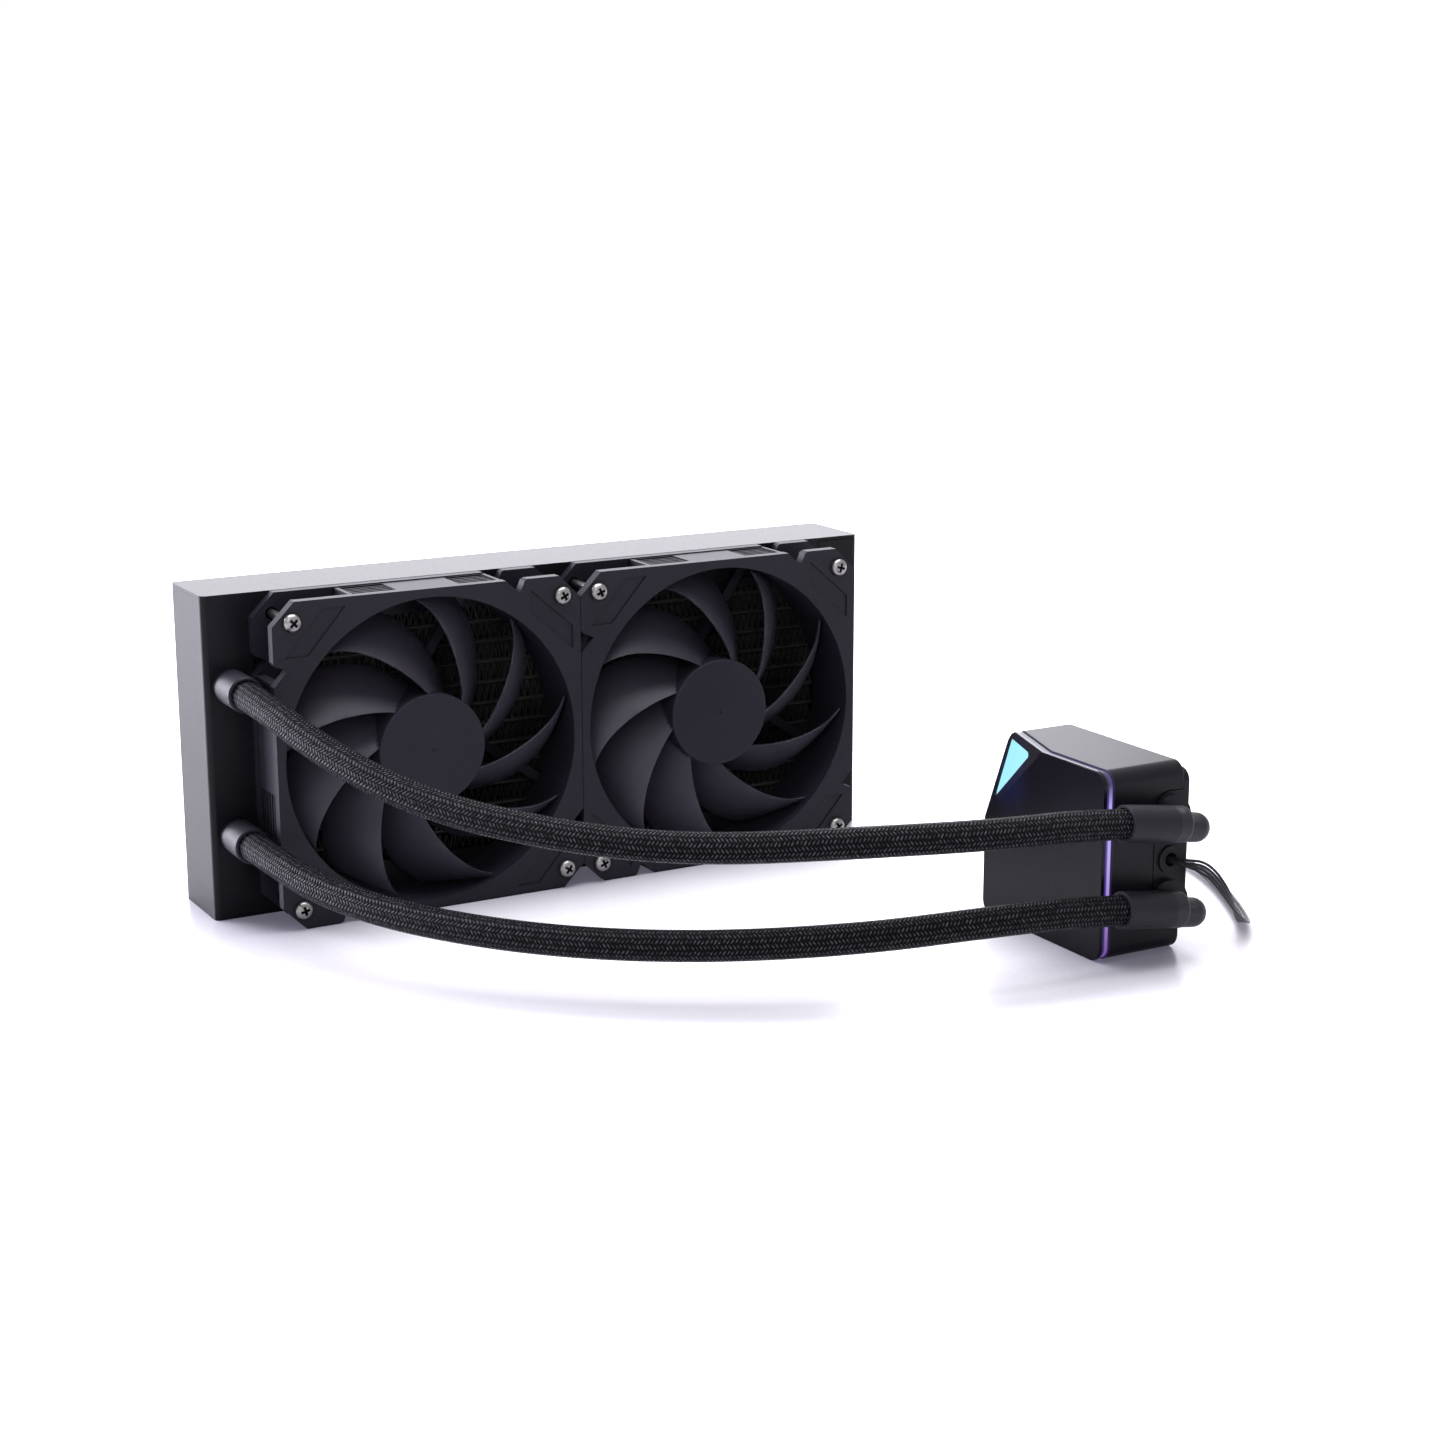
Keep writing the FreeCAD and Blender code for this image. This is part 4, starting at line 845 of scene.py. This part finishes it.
def made_by_tree(name, tree, values):
    """A plain mesh from a node tree, with the tree's inputs set by their identifiers."""
    piece = placed(name, bpy.data.meshes.new(name))
    modifier = piece.modifiers.new(name, "NODES")
    modifier.node_group = tree
    for item in tree.interface.items_tree:
        if item.item_type == "SOCKET" and item.in_out == "INPUT" and item.name in values:
            modifier[item.identifier] = values[item.name]
    return applied(piece)


# %% [markdown]
# The core is folded strips of thin sheet between flat water tubes. The CAD holds a few coarse
# folds. A node tree sets one thin wall of sheet on every point of a grid and leans every other one
# the other way, which makes the zigzag at its real spacing.

# %% Fine fins


def fin_tree():
    sizes = ("Length", "Height", "Fold Pitch", "Row Pitch", "Row Height", "Depth", "Sheet")
    tree, given = geometry_tree(
        "fin_rows", [*((label, "Float") for label in sizes), ("Material", "Material")])

    def fitted(whole, pitch):
        """How many grid points a pitch makes on a length."""
        return calc(tree, "ADD", calc(tree, "FLOOR", calc(tree, "DIVIDE", whole, pitch)), 1)

    def spanned(count, pitch):
        return calc(tree, "MULTIPLY", calc(tree, "SUBTRACT", count, 1), pitch)

    columns = fitted(given["Length"], given["Fold Pitch"])
    rows = fitted(given["Height"], given["Row Pitch"])
    grid = add_node(tree, "GeometryNodeMeshGrid", {
        "Size X": spanned(columns, given["Fold Pitch"]),
        "Size Y": spanned(rows, given["Row Pitch"]),
        "Vertices X": columns, "Vertices Y": rows})
    points = add_node(tree, "GeometryNodeMeshToPoints", {"Mesh": grid.outputs["Mesh"]})
    size = add_node(tree, "ShaderNodeCombineXYZ",
                    {0: given["Sheet"], 1: given["Row Height"], 2: given["Depth"]})
    wall = add_node(tree, "GeometryNodeMeshCube", {"Size": size.outputs[0]})
    order = add_node(tree, "GeometryNodeInputPosition")
    split = add_node(tree, "ShaderNodeSeparateXYZ", {0: order.outputs[0]})
    folds = calc(tree, "DIVIDE", split.outputs["X"], given["Fold Pitch"])
    parity = calc(tree, "FLOORED_MODULO", calc(tree, "ROUND", calc(tree, "ADD", folds, 0.5)), 2.0)
    lean = calc(tree, "ARCTAN2", given["Fold Pitch"], given["Row Height"])
    to_and_fro = calc(tree, "SUBTRACT", calc(tree, "MULTIPLY", parity, 2.0), 1.0)
    turned = add_node(tree, "ShaderNodeCombineXYZ", {2: calc(tree, "MULTIPLY", to_and_fro, lean)})
    walls = add_node(tree, "GeometryNodeInstanceOnPoints", {
        "Points": points.outputs[0], "Instance": wall.outputs["Mesh"],
        "Rotation": turned.outputs[0]})
    real = add_node(tree, "GeometryNodeRealizeInstances", {0: walls.outputs[0]})
    paint = add_node(tree, "GeometryNodeSetMaterial",
                     {"Geometry": real.outputs[0], "Material": given["Material"]})
    add_node(tree, "NodeGroupOutput", {0: paint.outputs[0]})
    return tree


row_height = 0.0062
row_pitch = 0.0080
gaps_between_rows = 11
fins = made_by_tree("fine_fins", fin_tree(), {
    "Length": 0.2344, "Height": gaps_between_rows * row_pitch + 0.0001, "Fold Pitch": 0.00136,
    "Row Pitch": row_pitch, "Row Height": row_height, "Depth": 0.027, "Sheet": 0.00022,
    "Material": finishes["dark_fins"]})
core_middle = Matrix.Translation((0, 0, 0.06))
fins.data.transform(core_middle @ Matrix.Rotation(math.radians(90), 4, "X"))
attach(fins, "root")
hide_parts("fin_strips")
print("fin walls faces", len(fins.data.polygons))

# %% [markdown]
# Eight bright cross-head screws hold the fans. One head is turned from a profile, and two crossed
# wedges that narrow downwards cut its recess, whose walls are near black as painted shade.

# %% One screw


def turned_profile(name, profile, sides, material, smooth_deg):
    """A closed solid turned about Y from (radius, depth) points that start and end on the axis."""
    shape = bmesh.new()
    rings = []
    for radius, depth in profile:
        angles = [2 * math.pi * k / sides for k in range(sides if radius else 1)]
        rings.append([shape.verts.new((radius * math.cos(angle), depth, radius * math.sin(angle)))
                      for angle in angles])
    for a, b in zip(rings, rings[1:]):
        for k in range(sides):
            n = (k + 1) % sides
            corners = (a[k % len(a)], a[n % len(a)], b[n % len(b)], b[k % len(b)])
            shape.faces.new(list(dict.fromkeys(corners)))
    bmesh.ops.recalc_face_normals(shape, faces=shape.faces)
    return solid_piece(name, shape, material, smooth_deg)


def cross_cutter(width, length, depth, top):
    """Two crossed wedges that narrow towards the bottom of the recess."""
    shape = bmesh.new()
    x_axis, z_axis = Vector((1, 0, 0)), Vector((0, 0, 1))
    for along, across in ((x_axis, z_axis), (z_axis, x_axis)):
        corners = [
            shape.verts.new(along * a * length * long + across * b * width * wide
                            + Vector((0, height, 0)))
            for long, wide, height in ((1 / 2, 1 / 2, top - 0.0002), (1 / 5, 1 / 3, top + depth))
            for a, b in ((-1, -1), (1, -1), (1, 1), (-1, 1))]
        for face in ((0, 1, 2, 3), (7, 6, 5, 4), (0, 4, 5, 1), (1, 5, 6, 2), (2, 6, 7, 3),
                     (3, 7, 4, 0)):
            shape.faces.new([corners[i] for i in face])
    bmesh.ops.recalc_face_normals(shape, faces=shape.faces)
    # The cutter's finish passes to the recess walls as painted shade.
    return solid_piece("cross_cutter", shape, finishes["recess_painted_shade"])


head_height = 0.0024
shaft_radius, shaft_end = 0.00155, 0.0290
screw = turned_profile("screw_shape", [
    (0, -head_height), (0.0010, -0.00238), (0.0019, -0.00225), (0.0026, -0.00192),
    (0.0031, -0.00142), (0.00335, -0.0008), (0.0034, -0.0003), (0.0034, 0.0),
    (shaft_radius, 0.0), (shaft_radius, shaft_end), (0, shaft_end)], 32,
    finishes["bright_steel"], 50)
cutter = cross_cutter(0.0011, 0.0040, 0.0017, -head_height)
recess = screw.modifiers.new("recess", "BOOLEAN")
recess.operation = "DIFFERENCE"
recess.object = cutter
recess.solver = "EXACT"
recess.use_self = True
recess.material_mode = "TRANSFER"
applied(screw)
bpy.data.objects.remove(cutter)
print("screw faces", len(screw.data.polygons))

# %% [markdown]
# A node tree sets the screw at the four corners of both fans, each turned to where the screwdriver
# happened to stop.

# %% Screws


def screw_tree():
    tree, given = geometry_tree("fan_screw_places", [
        ("Screw", "Object"), ("Fan Pitch", "Float"), ("Hole Spacing", "Float"), ("Seed", "Int")])
    corners = add_node(tree, "GeometryNodeMeshGrid", {
        "Size X": given["Hole Spacing"], "Size Y": given["Hole Spacing"],
        "Vertices X": 2, "Vertices Y": 2})
    upright = add_node(tree, "GeometryNodeTransform", {
        "Geometry": corners.outputs["Mesh"], "Rotation": (math.pi / 2, 0, 0)})
    fans = add_node(tree, "GeometryNodeMeshGrid", {
        "Size X": given["Fan Pitch"], "Size Y": 0.0, "Vertices X": 2, "Vertices Y": 1})
    spread = add_node(tree, "GeometryNodeInstanceOnPoints", {
        "Points": fans.outputs["Mesh"], "Instance": upright.outputs[0]})
    joined = add_node(tree, "GeometryNodeRealizeInstances", {0: spread.outputs[0]})
    shape = add_node(tree, "GeometryNodeObjectInfo", {"Object": given["Screw"]})
    chance = add_node(tree, "FunctionNodeRandomValue", {"Seed": given["Seed"]}, data_type="FLOAT")
    angle = calc(tree, "MULTIPLY", chance.outputs[1], 6.2832)
    turned = add_node(tree, "ShaderNodeCombineXYZ", {1: angle})
    place = add_node(tree, "GeometryNodeInstanceOnPoints", {
        "Points": joined.outputs[0], "Instance": shape.outputs["Geometry"],
        "Rotation": turned.outputs[0]})
    real = add_node(tree, "GeometryNodeRealizeInstances", {0: place.outputs[0]})
    add_node(tree, "NodeGroupOutput", {0: real.outputs[0]})
    return tree


screws = made_by_tree("cross_head_screws", screw_tree(), {
    "Screw": screw, "Fan Pitch": 0.120, "Hole Spacing": 0.105, "Seed": 4})
screws.data.transform(Matrix.Translation((0, -0.042, 0.060)))
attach(screws, "root")
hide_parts("fan_screws")
bpy.data.objects.remove(screw)
print("screws faces", len(screws.data.polygons))

# %% [markdown]
# The rest of the CAD pieces sit inside or show only as small surfaces. They keep their solids and
# take the finish of what they are made of.

# %% Finishes of the inner pieces
same_name = ("fan_plastic", "bright_steel", "gloss_black", "housing_black", "collar_black",
             "board_green", "magnet_grey")
finish_of_slot = {
    **{slot: finishes[slot] for slot in same_name},
    "radiator_paint": finishes["black_paint"], "fin_metal": finishes["dark_fins"],
    "light_plastic": line_light, "copper": faced_copper, "hose_braid": finishes["soft_rubber"],
    "black_rubber": finishes["soft_rubber"], "winding_copper": wound_copper}
slot_of_node = {s["node"]: s["material_slot"] for s in record["subparts"]}
for node, piece in frame["nodes"].items():
    piece.data.materials.clear()
    piece.data.materials.append(finish_of_slot[slot_of_node[node]])
print("nodes with a finish", len(slot_of_node))
